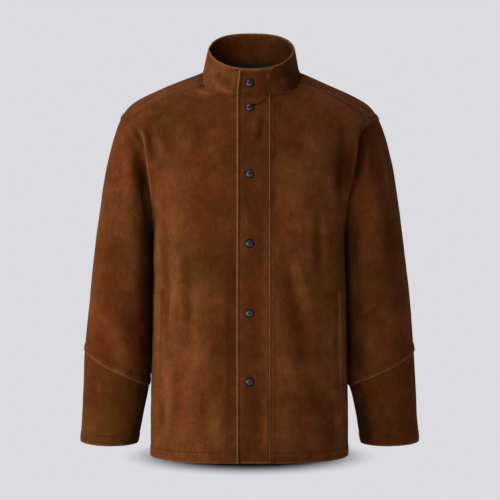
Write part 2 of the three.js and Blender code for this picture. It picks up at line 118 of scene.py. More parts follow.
SLEEVE = table(
    "height outer inner deep", (-722, 330, 217.5, 54), (-650, 325.7, 204.6, 61), (-590, 322.8, 194, 67),
    (-530, 319.5, 191.2, 71), (-450, 312.6, 189.6, 76), (-380, 305.3, 188.3, 80), (-310, 296.8, 188, 84))
CAP_END = {"outer": -330, "inner": -313, "dip": 0}
CAP_OUT = (0.265, 0.145, 0.335, 0.15)                  # how the cap leaves the armhole: level, top, side, fan
FOREARM_SEAM = {"outer": -538, "inner": -607, "dip": 4.5}
CUFF = {"outer": -714, "inner": -718, "dip": 3}

WELT = {"bottom": -607, "top": -420, "from": 0.61, "to": 0.775}
WELT_DRIFT = {"right": 0, "left": 0.045}               # how far a welt swings back, as a share of the front
SMOOTH = {"times": 7, "above": -350, "within": 232, "over": 60, "columns": 12}

# Creases. Each is a line through three places, x and z, as seen from the front. Then come how wide it is, how
# far out it stands, and how much lighter (+) or darker (-) it is painted: nap wear, with painted light and
# shade.
FRONT_CREASES = [
    # the wearer's right, from the armhole down to the hem
    ((-198, -96), (-187, -140), (-178, -190), 9, -5, 0),
    ((-184, -104), (-169, -142), (-158, -180), 9, 2.4, 0),
    ((-172, -100), (-152, -140), (-134, -178), 12, -3, 0),
    ((-95, -92), (-90, -128), (-93, -176), 14, -4, 0),
    ((-112, -39), (-86, -43), (-60, -49), 3.4, 2.4, 1.2),
    ((-108, -60), (-84, -62), (-50, -66), 5, -2, 0),
    ((-175, -190), (-170, -400), (-167, -640), 8.5, 4.2, 0.3),
    ((-158, -270), (-159, -410), (-157, -550), 9.5, -5, 0),
    ((-138, -280), (-136, -400), (-144, -560), 13, 4.4, 0),
    ((-115, -290), (-114, -430), (-108, -550), 10, -3.6, 0),
    ((-99, -400), (-97, -460), (-96, -560), 11, 2.4, 0),
    ((-148, -412), (-148, -470), (-152, -540), 3.6, 2, 0),
    ((-133, -405), (-134, -460), (-137, -530), 3.6, -1.6, 0),
    ((-152, -545), (-149, -610), (-151, -672), 9, 3, 0),
    ((-135, -535), (-133, -620), (-137, -705), 13, -3.6, 0),
    ((-118, -560), (-116, -630), (-120, -700), 10, 2, 0),
    ((-100, -500), (-98, -550), (-96, -592), 11, 2.6, 0),
    ((-103, -595), (-101, -650), (-104, -715), 11, 2.6, 0),
    ((-84, -590), (-82, -660), (-86, -730), 13, -2.2, 0),
    ((-168, -600), (-166, -650), (-170, -700), 6, -3, 0),
    ((-62, -600), (-58, -660), (-60, -738), 15, 2.6, 0),
    ((-27, -240), (-28, -500), (-26, -830), 13, -4.2, 0),
    # the wearer's left: the valley below the shoulder, the long diagonal trough and what runs on from it
    ((199, -98), (186, -180), (187, -268), 16, -17, -0.4),
    ((146, -180), (153, -225), (155, -270), 10.6, 3, 0),
    ((68, -150), (84, -215), (76, -290), 28, 5, 0),
    ((128, -250), (131, -325), (131, -410), 8.5, -4.5, 0),
    ((139, -270), (141, -320), (140, -380), 7.1, 1.6, 0),
    ((78, -325), (101, -415), (122, -505), 17, 4.4, 0),
    ((66, -340), (82, -425), (100, -525), 15, -4.6, 0),
    ((90, -495), (100, -545), (114, -600), 16.5, -4.5, 0),
    ((52, -520), (74, -560), (92, -610), 15.3, 3, 0),
    ((84, -540), (118, -606), (154, -672), 15, -4.6, 0),
    ((108, -532), (138, -590), (162, -645), 16, 2.4, 0),
    ((160, -640), (156, -690), (162, -738), 16.5, -3, 0),
    ((118, -650), (122, -700), (118, -738), 14.2, 2, 0),
    ((60, -600), (66, -670), (58, -738), 21.2, 2.4, 0),
    ((172, -420), (173, -500), (172, -590), 4.7, 2, 0),
    ((165, -430), (166, -510), (164, -600), 5.9, -2, 0),
    # where the leather is level and only its painted tone differs: nap wear, with painted light and shade
    ((-120, -440), (-112, -640), (-120, -820), 75, 0, 0.6),
    ((-200, -70), (-190, -120), (-178, -180), 22, 0, -1),
    ((-184, -60), (-160, -115), (-140, -170), 16, 0, -0.45),
    ((-146, -170), (-143, -245), (-140, -340), 25, 0, 0.85),
    ((-133, -280), (-132, -400), (-130, -530), 14, 0, 0.5),
    ((-72, -200), (-76, -330), (-74, -450), 38, 0, -0.8),
    ((-120, -55), (-165, -80), (-205, -108), 26, 0, -0.7),
    ((-44, -130), (-42, -200), (-42, -280), 20, 0, -0.35),
    ((-62, -480), (-60, -570), (-64, -670), 20, 0, -1),
    ((-110, -570), (-108, -635), (-108, -700), 15, 0, -0.8),
    ((-146, -630), (-145, -670), (-145, -700), 10, 0, -0.5),
    ((-78, -695), (-80, -725), (-80, -790), 20, 0, 1),
    ((-90, -30), (-95, -110), (-100, -190), 60, 0, -0.3),
    ((-190, -728), (-110, -736), (-50, -738), 14, 0, 0.4),
    ((68, -120), (72, -195), (76, -270), 24, 0, -0.45),
    ((122, -120), (122, -176), (124, -225), 14, 0, 0.6),
    ((176, -90), (175, -130), (172, -170), 9, 0, -0.9),
    ((172, -150), (174, -200), (174, -245), 9, 0, -2),
    ((132, -300), (132, -345), (134, -390), 9, 0, -0.6),
    ((198, -40), (192, -108), (197, -170), 22, 0, 1),
    ((120, -28), (160, -60), (196, -100), 20, 0, 0.6),
    ((90, -270), (76, -305), (50, -330), 20, 0, 0.4),
    ((76, -430), (98, -505), (108, -560), 15, 0, -1),
    ((108, -560), (135, -610), (163, -690), 14, 0, -0.6),
    ((152, -450), (158, -540), (160, -610), 22, 0, 0.7),
    ((84, -530), (104, -590), (116, -640), 12, 0, 1),
    ((50, -290), (110, -302), (172, -300), 17, 0, 0.6),
    ((102, -660), (104, -700), (106, -730), 15, 0, -0.6),
    ((57, -640), (57, -680), (57, -715), 13, 0, -0.4),
    ((110, -736), (142, -732), (180, -722), 14, 0, 0.6),
    ((47, -110), (48, -450), (48, -700), 9, 0, 0.4),
    ((176, -600), (176, -690), (176, -790), 12, 0, 0.9),
]
BACK_CREASES = [
    ((-160, -180), (-128, -300), (-92, -430), 23.6, -7.4, 0),
    ((-176, -240), (-150, -340), (-126, -430), 15.3, 4.1, 0),
    ((158, -190), (126, -300), (100, -410), 22.4, -7.4, 0),
    ((172, -250), (152, -350), (120, -455), 16.5, 4.1, 0),
    ((-60, -470), (-66, -580), (-80, -700), 23.6, 5.4, 0),
    ((84, -440), (76, -560), (64, -690), 26, 5.4, 0),
    ((-30, -455), (-14, -560), (-20, -700), 17.7, -4.1, 0),
    ((34, -500), (30, -600), (36, -738), 16.5, -3.5, 0),
    ((-118, -480), (-112, -580), (-122, -736), 15.3, -4.6, 0),
    ((124, -490), (114, -590), (118, -736), 14.2, -4.1, 0),
    ((-150, -520), (-148, -610), (-152, -730), 14.2, 3.5, 0),
    ((150, -540), (146, -620), (152, -732), 15.3, 3.2, 0),
    ((-70, -380), (0, -392), (62, -376), 14.2, -3, 0),
    ((-50, -406), (14, -414), (76, -400), 11.8, 2.4, 0),
    ((-46, -60), (-50, -130), (-44, -220), 30.7, 2.7, 0),
    ((60, -70), (56, -150), (62, -240), 28.3, 2.7, 0),
]
# Creases of the sleeves, by the face that they show on; x is counted from the middle of the garment.
SLEEVE_CREASES = {
    ("right", "front"): [
        ((217, -145), (196, -212), (181, -330), 13, -24, -0.9),
        ((212, -160), (204, -182), (196, -204), 4.7, 5, 0),
        ((238, -108), (227, -134), (209, -160), 4.6, -5, 0),
        ((232, -104), (221, -126), (205, -150), 3.3, 3.4, 0),
        ((226, -100), (216, -119), (203, -140), 3.6, -4, 0),
        ((220, -97), (211, -113), (200, -130), 3.1, 2.6, 0),
        ((236, -150), (228, -200), (220, -260), 13, 5, 0),
        ((226, -230), (222, -300), (219, -370), 15.3, 3.5, 0),
        ((276, -440), (248, -510), (222, -590), 22, 5, 0),
        ((300, -480), (280, -525), (250, -575), 17, -4.6, 0),
        ((300, -380), (302, -450), (304, -520), 9, 3, 0),
        ((300, -590), (278, -620), (252, -640), 15.3, 2.2, 0),
        ((264, -180), (266, -380), (266, -570), 20, 0, -0.7),
        ((205, -170), (199, -212), (195, -255), 8, 0, -2),
        ((222, -105), (218, -140), (222, -175), 13, 0, -1),
        ((244, -150), (248, -195), (254, -240), 12, 0, -0.6),
        ((258, -500), (264, -545), (268, -580), 14, 0, -0.6),
        ((218, -320), (223, -400), (232, -490), 13, 0, 0.7),
        ((203, -440), (204, -515), (206, -580), 13, 0, -1.3),
    ],
    ("right", "back"): [
        ((222, -150), (212, -205), (202, -260), 15.3, -6, 0),
        ((250, -170), (238, -230), (222, -300), 17.7, 3, 0),
        ((206, -440), (244, -462), (290, -452), 11.8, -4, 0),
        ((208, -478), (250, -494), (300, -482), 11.8, 3.4, 0),
        ((212, -516), (248, -524), (282, -510), 10.6, -3, 0),
        ((240, -590), (262, -620), (300, -640), 14.2, -2.4, 0),
    ],
    ("right", "inner"): [
        ((46, -215), (48, -430), (50, -690), 24, 21, 0),
    ],
    ("left", "front"): [
        ((232, -84), (214, -152), (198, -240), 10, -20, 0),
        ((236, -112), (227, -124), (217, -140), 3.4, 3, 0),
        ((239, -130), (229, -172), (220, -235), 11, 1.6, -0.5),
        ((258, -240), (263, -340), (266, -430), 22, 0, -1.2),
        ((200, -160), (188, -210), (183, -270), 9, 0, -1.6),
        ((212, -90), (209, -125), (204, -150), 9, 0, 1.5),
        ((198, -320), (200, -390), (203, -450), 9, 0, 0.8),
        ((200, -500), (203, -545), (206, -590), 12, 0, -1),
        ((238, -200), (245, -255), (246, -330), 15.3, 3.5, 0),
        ((248, -120), (256, -190), (262, -270), 5.5, 3.4, 0),
        ((214, -480), (238, -456), (262, -448), 6, -2.2, 0),
        ((210, -474), (230, -452), (256, -440), 5, 1.5, 0),
        ((226, -540), (240, -523), (262, -514), 8.3, 1.4, 0),
        ((300, -600), (280, -632), (256, -652), 15.3, 2, 0),
    ],
    ("left", "back"): [
        ((224, -146), (214, -210), (204, -262), 15.3, -6, 0),
        ((254, -180), (240, -250), (226, -320), 17.7, 3, 0),
        ((206, -450), (248, -474), (296, -462), 13, -4, 0),
        ((210, -492), (252, -506), (300, -496), 11.8, 3, 0),
        ((236, -600), (264, -626), (304, -640), 14.2, -2.6, 0),
    ],
    ("left", "inner"): [
        ((46, -215), (48, -430), (50, -690), 24, 21, 0),
    ],
}
FLAP_CREASES = [
    ((1, -72.5), (18, -68.5), (38, -58), 2.8, -5, -1.6),
    ((6, -64), (20, -61), (36, -51), 4.5, 1.3, 0),
    ((37, -6), (38, -14), (37, -24), 2.6, 1.8, 0),
    ((32, -4), (32, -12), (31, -20), 2.4, -1.2, 0),
    ((30, -78), (23, -115), (15, -160), 7, -2, 0),
    ((18, -84), (12, -115), (4, -150), 8, 1.4, 0),
    ((28, -590), (32, -665), (30, -738), 6, 2, 0),
    ((30, -200), (31, -480), (30, -860), 10, 0, 0.8),
    ((-8, -190), (-8, -245), (-6, -290), 13, 0, -0.5),
    ((-15, -735), (8, -735), (34, -735), 12, 0, 0.5),
    ((6, -560), (14, -640), (8, -730), 11, -1.4, 0),
    ((-8, -230), (-4, -300), (-10, -380), 8, 1.2, 0),
    ((18, -250), (24, -330), (16, -420), 9, -1.2, 0),
]
# Soft dents of the collar: turn round it (0 is the front), share of its height, width, height, and how much
# lighter (+) or darker (-) it is painted: wear, with painted shade on the collar's shaded right side and
# inside.
COLLAR_DENTS = [
    (-14, 0.1, 7, 3.4, 0.6), (-22, 0.17, 7, 4, 0.6), (-31, 0.25, 7, 3.8, 0.5), (-41, 0.35, 7, 3, 0.3),
    (-20, 0.5, 8, -3, -0.5), (-36, 0.6, 8, -2.6, -0.4), (-50, 0.74, 12, 1.4, 0), (-30, 0.84, 9, 0.8, 0),
    (42, 0.35, 11, 3, 0), (32, 0.62, 10, -3, 0), (54, 0.5, 14, -4, -0.8), (70, 0.4, 36, -4.5, -2.8),
    (47, 0.25, 12, 0, -1.4), (125, 0.85, 20, 0, -1), (-130, 0.7, 34, 0, -1.3), (110, 0.5, 26, -1.8, -0.9),
    (-108, 0.6, 34, -1.6, -1.3), (165, 0.5, 20, 1.4, 0), (-150, 0.6, 16, -1.4, 0),
]
RUMPLE = [(74, 1.5), (31, 0.55)]    # size and height of the leather's slack between the creases
# How the flap's free and sewn edges stand up, and where they are painted lighter (wear, with a painted
# highlight on their ridges): height, distance from the edge and width.
FLAP_BEAD = [(1.6, 2.6, 2.8), (-0.5, 9, 1.5)]
FLAP_RIDGE = [(1.2, 1.6, 1.4), (-0.7, 3.6, 0.9), (0.5, 6, 1.8)]
FLAP_SEWN_WEAR_AND_HIGHLIGHT = [(2.6, 2.2, 1.3), (1.1, 6.2, 1.1)]
FLAP_FREE_WEAR_AND_HIGHLIGHT = [(1.3, 7.6, 1.2)]

# Pieces are cut from slightly different skins: lighter (+) or darker (-) than the rest. The wearer's left
# sleeve and forearm are also painted darker, as painted shade where the light falls off to that side.
SKIN_AND_SHADE = {"sleeve_left": -0.5, "forearm_right": -0.65, "forearm_left": -0.85, "front_flap": -0.6,
        "front_right": 0.1, "collar": 0.3, "back": 0.2}
# Painted shade: how much darker the arms are painted on their sides that face the body. How a seam's
# lighter edge shows, wear with a painted highlight: its distances are stretched and moved out by these,
# so that it is narrower and fainter.
SLEEVE_PAINTED_SHADE = {"right": 2.2, "left": 0.3}
FOREARM_PAINTED_SHADE = {"right": 0.8, "left": 3}
ARMHOLE_LIT_WEAR = {"right": 0.7, "left": 1.2}
RIM_LIT_WEAR = 1.15
LIT_WEAR_OUT = {"hem": 1.9, "cuff": 2.2, "welt": 2.2, "flap": 0.2, "rim": 0.95, "calm": 3.4}

# ---------------------------------------------------------------- form


def ease(t):
    t = np.clip(t, 0, 1)
    return t * t * (3 - 2 * t)


def mix(a, b, t):
    return a + (b - a) * t


def hump(d, at, wide):
    """A soft rise of height 1 at a place, as wide as this to both sides."""
    return np.exp(-((d - at) / wide) ** 2)


def humps(d, rows):
    """The sum of soft rises, each given by its height, place and width."""
    return sum(high * hump(d, at, wide) for high, at, wide in rows)


def rolled(d, radius):
    """Profile of a rounded edge, d from it: 0 at the edge and 1 from its radius on."""
    return np.sqrt(np.clip(1 - (1 - np.clip(d / radius, 0, 1)) ** 2, 0, 1))


def read(rows, value, period=0):
    """Every column of a table at a value of its first column, on a smooth curve through the rows."""
    key, *columns = rows[0]
    x = np.array([row[key] for row in rows], float)
    last = len(x) - 1
    at = np.clip(np.asarray(value, float), x[0], x[-1])
    i = np.clip(np.searchsorted(x, at) - 1, 0, last - 1)
    span = x[i + 1] - x[i]
    t = (at - x[i]) / span
    out = {}
    for column in columns:
        v = np.array([row[column] for row in rows], float)
        slope = np.empty(last + 1)
        slope[1:-1] = (v[2:] - v[:-2]) / (x[2:] - x[:-2])
        if period:
            slope[0] = slope[-1] = (v[1] - v[-2]) / (x[1] - x[-2] + period)
        else:
            slope[0], slope[-1] = (v[1] - v[0]) / (x[1] - x[0]), (v[-1] - v[-2]) / (x[-1] - x[-2])
        a, b, p, q = v[i], v[i + 1], slope[i] * span, slope[i + 1] * span
        out[column] = a + t * (p + t * (3 * (b - a) - 2 * p - q + t * (2 * (a - b) + p + q)))
    return out


def points(x, y, z):
    """Points from their x, y and z, each one number or many."""
    return np.stack(np.broadcast_arrays(x, y, z), -1).astype(float)


def quarter(half, deep, turn, square):
    """A quarter of a squared ellipse, from the middle to the side."""
    power = 2 / square
    return half * np.maximum(np.sin(turn), 0) ** power, deep * np.maximum(np.cos(turn), 0) ** power


def bezier(a, b, c, d, t):
    s = 1 - t
    return a * s ** 3 + 3 * b * s * s * t + 3 * c * s * t * t + d * t ** 3


def armhole_point(turn):
    at = read(ARMHOLE, turn, 360)
    middle = (ARMHOLE_TOP + UNDERARM) / 2
    return points(at["x"], at["y"], middle + (ARMHOLE_TOP - middle) * np.cos(np.radians(turn)))


def ring_point(ring, turn):
    """A point of the neck seam or the rim: turn 0 is the centre front, 180 the back, + to the left."""
    turn = np.asarray(turn, float)
    angle = np.radians(np.abs(turn))
    front = np.cos(angle) > 0
    fold = np.where(angle < math.pi / 2, angle, math.pi - angle)
    square = np.where(front, ring["square"], ring.get("back_square", ring["square"]))
    x, y = quarter(ring["half"], np.where(front, ring["front"], ring["back"]), fold, square)
    z = np.where(front, ring["side"] - ring["drop"] * (y / ring["front"]) ** ring["drop_bend"],
                 ring["side"] + ring["rise"] * (y / ring["back"]) ** ring["rise_bend"])
    return points(np.sign(turn) * x + ring["shift"], np.where(front, -y, y), z)


def collar_point(turn, up):
    return mix(ring_point(NECK_SEAM, turn), ring_point(RIM, turn), np.asarray(up, float)[..., None])


def shoulder_line():
    """The shoulder's top line from the neck to the armhole, as x and z at equal steps along it."""
    neck, arm = (NECK_SEAM["half"], NECK_SEAM["side"]), armhole_point(0.0)[[0, 2]]
    handles = [np.add(neck, SHOULDER["neck_handle"]), np.add(arm, SHOULDER["arm_handle"])]
    t = np.linspace(0, 1, 201)[:, None]
    line = bezier(np.array(neck, float), handles[0], handles[1], arm, t)
    along = np.r_[0, np.cumsum(np.linalg.norm(np.diff(line, axis=0), axis=1))]
    return along / along[-1], line


SHOULDER_LINE = shoulder_line()


def top_point(face, across):
    """Top edge of a half panel: the neck seam, then the top line of the shoulder."""
    share, line = SHOULDER_LINE
    s = np.clip((across - NECK_SHARE) / (1 - NECK_SHARE), 0, 1)
    shoulder = points(np.interp(s, share, line[:, 0]), 0, np.interp(s, share, line[:, 1]))
    turn = 90 * np.minimum(across / NECK_SHARE, 1)
    neck = ring_point(NECK_SEAM, turn if face == "front" else 180 - turn)
    neck[..., 0] = np.abs(neck[..., 0])
    return np.where((across > NECK_SHARE)[..., None], shoulder, neck)


def climb_of(up):
    """How high a row lies between the underarm and the top, as a share."""
    return (1 - np.cos(math.pi * up)) / 2


def roundness(face, across):
    """How roundly a half panel closes towards its top."""
    neck, shoulder = ROUND[face]
    return np.where(across < NECK_SHARE, mix(1, neck, ease(across / NECK_SHARE)),
                    mix(neck, shoulder, ease((across - NECK_SHARE) / NECK_SHARE)))


def open_section(face, up):
    """The half width, depth and end of a level section that the armhole cuts off."""
    reach = np.minimum(up, 0.995)
    arm = armhole_point(180 * (1 - reach) if face == "front" else 180 * (1 + reach))
    depth = read(BODY, UNDERARM)[face]
    opened = np.abs(arm[..., 1]) / np.sqrt(1 - climb_of(reach) ** 3)
    end = np.arccos(np.minimum(opened / depth, 1) ** (SQUARE / 2))
    return arm[..., 0] / np.sin(end) ** (2 / SQUARE), depth, end


def body_point(face, across, up):
    """A point of a half panel: across 0 at the middle to 1 at the side; up -1 hem, 0 underarm, 1 top."""
    across, up = np.broadcast_arrays(np.asarray(across, float), np.asarray(up, float))
    facing = -1 if face == "front" else 1
    hem = mix(HEM[face], HEM["side"], ease(across))
    height = mix(UNDERARM, hem, np.clip(-up, 0, 1))
    row = read(BODY, height)
    x, y = quarter(row["half"], row[face], across * math.pi / 2, SQUARE)
    below = points(x, facing * y, height)

    over = np.clip(up, 0, 1)
    climb = climb_of(over)
    top = top_point(face, across)
    half, depth, end = open_section(face, over)
    x, y = quarter(half, depth, across * end, SQUARE)
    last_half, _, last_end = open_section(face, 1.0)
    top_x, _ = quarter(last_half, depth, across * last_end, SQUARE)
    low_x, _ = quarter(read(BODY, UNDERARM)["half"], 0, across * math.pi / 2, SQUARE)
    beside = x + (top[..., 0] - top_x) * climb ** 2
    above = mix(low_x, top[..., 0], climb)
    closing = (1 - climb ** 3) ** (1 / roundness(face, across))
    upper = points(mix(above, beside, ease((across - 0.25) / 0.6)), mix(top[..., 1], facing * y, closing),
                   mix(UNDERARM, top[..., 2], climb))
    return np.where((up <= 0)[..., None], below, upper)


def seam_up(across):
    """How far up the front the shoulder seam lies."""
    forward = read(SHOULDER_SEAM, across)["forward"]
    half, depth, end = open_section("front", 1.0)
    _, opened = quarter(half, depth, across * end, SQUARE)
    top = np.abs(top_point("front", across)[..., 1])
    closing = np.minimum((forward - top) / (opened - top), 1)
    climb = np.clip(1 - np.maximum(closing, 0) ** roundness("front", across), 0, 1) ** (1 / 3)
    return np.where(across <= SEAM_START + 1e-9, 1, np.arccos(1 - 2 * climb) / math.pi)


def ring_height(ring, turn):
    """Height of a seam line or hem of the sleeve."""
    share = (1 - np.cos(np.radians(turn))) / 2
    return mix(ring["outer"], ring["inner"], share) - ring["dip"] * np.sin(np.radians(turn)) ** 2


def tube_point(turn, height):
    """A point of the sleeve as a level tube: turn 0 outer edge, 90 front, 180 beside the body."""
    row = read(SLEEVE, height)
    c, s = np.cos(np.radians(turn)), np.sin(np.radians(turn))
    bend = 2 / SLEEVE_SQUARE
    x = (row["outer"] + row["inner"]) / 2 + np.sign(c) * np.abs(c) ** bend * (row["outer"] - row["inner"]) / 2
    return points(x, -np.sign(s) * np.abs(s) ** bend * row["deep"], height)


def cap_point(turn, down):
    """A point of the sleeve's cap, from the armhole (0) to its first whole ring (1)."""
    turn, down = np.broadcast_arrays(turn, down)
    start, height = armhole_point(turn), ring_height(CAP_END, turn)
    end = tube_point(turn, height)
    c, s = np.cos(np.radians(turn)), np.sin(np.radians(turn))
    level, top, side, fan = CAP_OUT
    out = points(level + top * c + side * s * s, -fan * s, 0)
    out[..., 2] = -np.sqrt(1 - out[..., 0] ** 2 - out[..., 1] ** 2)
    below = tube_point(turn, height - 10) - end
    below /= np.linalg.norm(below, axis=-1, keepdims=True)
    reach = np.linalg.norm(end - start, axis=-1, keepdims=True) / 3
    return bezier(start, start + out * reach * 0.85, end - below * reach, end, down[..., None])


# ---------------------------------------------------------------- grids


def steps(count, length, start=(), end=()):
    """Shares from 0 to 1 in equal steps, with closer ones at given distances from either end."""
    close = [d / length for d in start] + [1 - d / length for d in end]
    apart = 0.3 / count
    even = [s for s in np.linspace(0, 1, count + 1) if s in (0, 1) or all(abs(s - c) > apart for c in close)]
    return np.array(sorted(set(even) | set(close)))


def rows_up(count, length, end=()):
    """Heights from the underarm to the top, about evenly apart along the leather."""
    return np.arccos(1 - 2 * np.sin(math.pi / 2 * steps(count, length, end=end))) / math.pi


EDGE = (0.35, 1.0, 2.2, 4.0, 8.0, 11.0, 14.0)            # closer steps beside a lapped seam
HEM_STEPS = (1.0, 3.0, 8.0, 14.0, 17.0, 18.3, 19.0, 19.7, 21.0, 23.5)


def resample(grid, rows, columns):
    """The grid at fractional rows and columns, on smooth curves through its points."""
    def along(p, t):
        i = np.clip(np.floor(t).astype(int), 0, len(p) - 2)
        f = (t - i)[:, None, None]
        a, b, c, d = p[np.maximum(i - 1, 0)], p[i], p[i + 1], p[np.minimum(i + 2, len(p) - 1)]
        a = np.where((i == 0)[:, None, None], 2 * b - c, a)
        d = np.where((i == len(p) - 2)[:, None, None], 2 * c - b, d)
        square, cube = a - 2.5 * b + 2 * c - 0.5 * d, 1.5 * (b - c) + 0.5 * (d - a)
        return b + f * (0.5 * (c - a) + f * (square + f * cube))

    half = along(grid, rows)
    return along(half.swapaxes(0, 1), columns).swapaxes(0, 1)


class Cloth:
    """The outside of one piece: grids of points welded together, then pushed into shape."""

    def __init__(self, grids, inside):
        self.index, self.quads, flat, at = [], [], [], 0
        for grid in grids:
            rows, columns = grid.shape[:2]
            index = np.arange(rows * columns).reshape(rows, columns) + at
            a, b, c, d = index[:-1, :-1], index[:-1, 1:], index[1:, 1:], index[1:, :-1]
            quads = np.stack([a, b, c, d], -1).reshape(-1, 4)
            p = grid[rows // 2, columns // 2]
            normal = np.cross(grid[rows // 2, columns // 2 + 1] - p, grid[rows // 2 + 1, columns // 2] - p)
            if np.dot(normal, p - inside(p)) < 0:
                quads = quads[:, ::-1]
            self.index.append(index)
            self.quads.append(quads)
            flat.append(grid.reshape(-1, 3))
            at += rows * columns
        self.weld(np.concatenate(flat), np.concatenate(self.quads))

    def weld(self, p, quads):
        """Gives points that lie together one number, and drops the faces that this closes up."""
        keys = np.round(p / 0.02).astype(np.int64)
        _, first, same = np.unique(keys, axis=0, return_index=True, return_inverse=True)
        same = same.reshape(-1)
        tree = KDTree(len(first))
        for k, i in enumerate(first):
            tree.insert(p[i], k)
        tree.balance()
        near = np.array([min(j for _, j, _ in tree.find_range(p[i], 0.03)) for i in first])
        kept, again = np.unique(near, return_inverse=True)
        self.p = p[first][kept]
        self.rubbed = np.zeros(len(self.p))
        number = again.reshape(-1)[same]
        self.index = [number[index] for index in self.index]
        self.quads = number[quads]
        self.base = self.p.copy()

    def hang(self):
        """Lets the jacket hang a little unevenly: the left armhole further out, the neck over to the left."""
        x, _, z = self.p.T
        self.p[:, 0] += HANG["armhole"] * np.exp(-((x - 205) / 60) ** 2 - ((z + 160) / 66) ** 2)
        self.p[:, 0] += HANG["neck"] * ease((z + 48) / 40) * (1 - ease((np.abs(x) - 100) / 50))
        self.base = self.p.copy()

    def lean_in(self):
        """The wearer's left sleeve leans on the body a little lower down than the right one."""
        x, _, z = self.p.T
        self.p[:, 0] -= HANG["sleeve"] * hump(z, -585, 26) * ease((238 - x) / 22) * (x > 0)
        self.base = self.p.copy()

    def faces(self):
        """The quads, as triangles where a weld has closed up a side."""
        out = []
        for quad in self.quads.tolist():
            ring = [k for i, k in enumerate(quad) if k != quad[i - 1]]
            if len(set(ring)) == len(ring) > 2:
                out.append(ring)
        return out

    def grid(self, i=0):
        return self.p[self.index[i]]

    def normals(self):
        a, b, c, d = (self.p[self.quads[:, k]] for k in range(4))
        n = np.cross(c - a, d - b)
        total = np.zeros_like(self.p)
        for k in range(4):
            np.add.at(total, self.quads[:, k], n)
        return total / np.maximum(np.linalg.norm(total, axis=1, keepdims=True), 1e-12)

    def push(self, rise):
        """Moves every point outwards by its own distance."""
        self.p = self.p + self.normals() * np.asarray(rise)[:, None]

    def edges(self):
        a = self.quads
        pairs = np.concatenate([a[:, [k, (k + 1) % 4]] for k in range(4)])
        pairs = pairs[pairs[:, 0] != pairs[:, 1]]
        unique, count = np.unique(np.sort(pairs, axis=1), axis=0, return_counts=True)
        return unique, count

    def smooth(self, times, held):
        """Lets the cloth pull smooth; held is 0 for the points that stay and 1 for those that give."""
        unique, _ = self.edges()
        a, b = np.r_[unique[:, 0], unique[:, 1]], np.r_[unique[:, 1], unique[:, 0]]
        count = np.bincount(a, minlength=len(self.p)).astype(float)
        for _ in range(times):
            mean = np.stack([np.bincount(a, self.p[b, k], len(self.p)) / count for k in range(3)], 1)
            self.p = self.p + (mean - self.p) * held[:, None]


def distance_to(p, lines):
    """Distance of every point to the nearest of some lines of points."""
    tree_points = []
    for line in lines:
        for a, b in zip(line[:-1], line[1:]):
            parts = max(int(np.linalg.norm(b - a) / 0.8), 1)
            tree_points += [mix(a, b, k / parts) for k in range(parts)]
        tree_points.append(line[-1])
    tree = KDTree(len(tree_points))
    for k, q in enumerate(tree_points):
        tree.insert(q, k)
    tree.balance()
    return np.array([tree.find(q)[2] for q in p])


def crease_rise(creases, x, z):
    """Height that the creases add at places seen from the front or the back, and how much lighter (+) they
    are painted: wear, with painted light on ridges and painted shade in valleys.
    """
    total, rubbed = np.zeros_like(x), np.zeros_like(x)
    parts = 12
    s = np.linspace(0, 1, parts + 1)
    for *ends, wide, high, shading_and_wear in creases:
        a, m, b = (np.array(place, float) for place in ends)
        c = 2 * m - (a + b) / 2
        line = np.outer((1 - s) ** 2, a) + np.outer(2 * s * (1 - s), c) + np.outer(s * s, b)
        away, place = np.full(len(x), np.inf), np.zeros(len(x))
        for k, (start, end) in enumerate(zip(line[:-1], line[1:])):
            run = end - start
            t = np.clip(((x - start[0]) * run[0] + (z - start[1]) * run[1]) / (run @ run), 0, 1)
            far = np.hypot(x - start[0] - t * run[0], z - start[1] - t * run[1])
            place = np.where(far < away, (k + t) / parts, place)
            away = np.minimum(away, far)
        taper = ease(np.minimum(place, 1 - place) / 0.4)
        shape = taper * hump(away, 0, wide)
        total += high * shape
        # ridges are painted lighter and valleys darker: painted light and shade, with each crease's wear and
        # painted shading
        rubbed += (np.tanh(high / 4) + shading_and_wear) * shape
    return total, rubbed


def rumple(p):
    """The leather's slack between the creases."""
    out = np.zeros(len(p))
    for k, (size, high) in enumerate(RUMPLE):
        out += [high * noise.noise(Vector(q / size) + Vector((7.3 * k, 1.7, 4.1))) for q in p]
    return out


def lap_rise(d):
    """Profile of a lapped seam's raised edge, d from the edge: rolled over, flat, and dying out."""
    roll = rolled(d, 1.2)
    groove = sum(0.35 * hump(d, row, 1.1) for row in ROWS)
    return LAP["high"] * roll * (1 - ease((d - LAP["to"]) / (LAP["ends"] - LAP["to"]))) - groove * roll


def hem_rise(d):
    """Profile of a turned-up hem: slightly full below its stitching."""
    return 0.7 * ease(d / 5) * (1 - ease((d - TURN_UP + 2) / 5)) - 0.8 * hump(d, TURN_UP, 1.6)


# ---------------------------------------------------------------- meshes

STITCH_ROWS = []              # every row of stitches: points and outward directions
EDGE_ARCS = 3                 # points round a cut edge between its two faces
EDGE_FULL = 0.7               # how far a cut edge stands out, as a share of half its wall


def inset(grid, normal, side, distance):
    """A line that follows one side of a grid at a distance from it, with its outward directions."""
    def turned(rows):
        rows = rows.swapaxes(0, 1) if side in ("left", "right") else rows
        return rows[::-1] if side in ("high", "right") else rows

    place, outward = turned(grid), turned(normal)
    along = np.concatenate([np.zeros((1, place.shape[1])),
                            np.cumsum(np.linalg.norm(np.diff(place, axis=0), axis=2), 0)])
    line, out = [], []
    for j in range(place.shape[1]):
        if along[-1, j] >= distance:
            line.append([np.interp(distance, along[:, j], place[:, j, k]) for k in range(3)])
            out.append([np.interp(distance, along[:, j], outward[:, j, k]) for k in range(3)])
    return np.array(line), np.array(out)


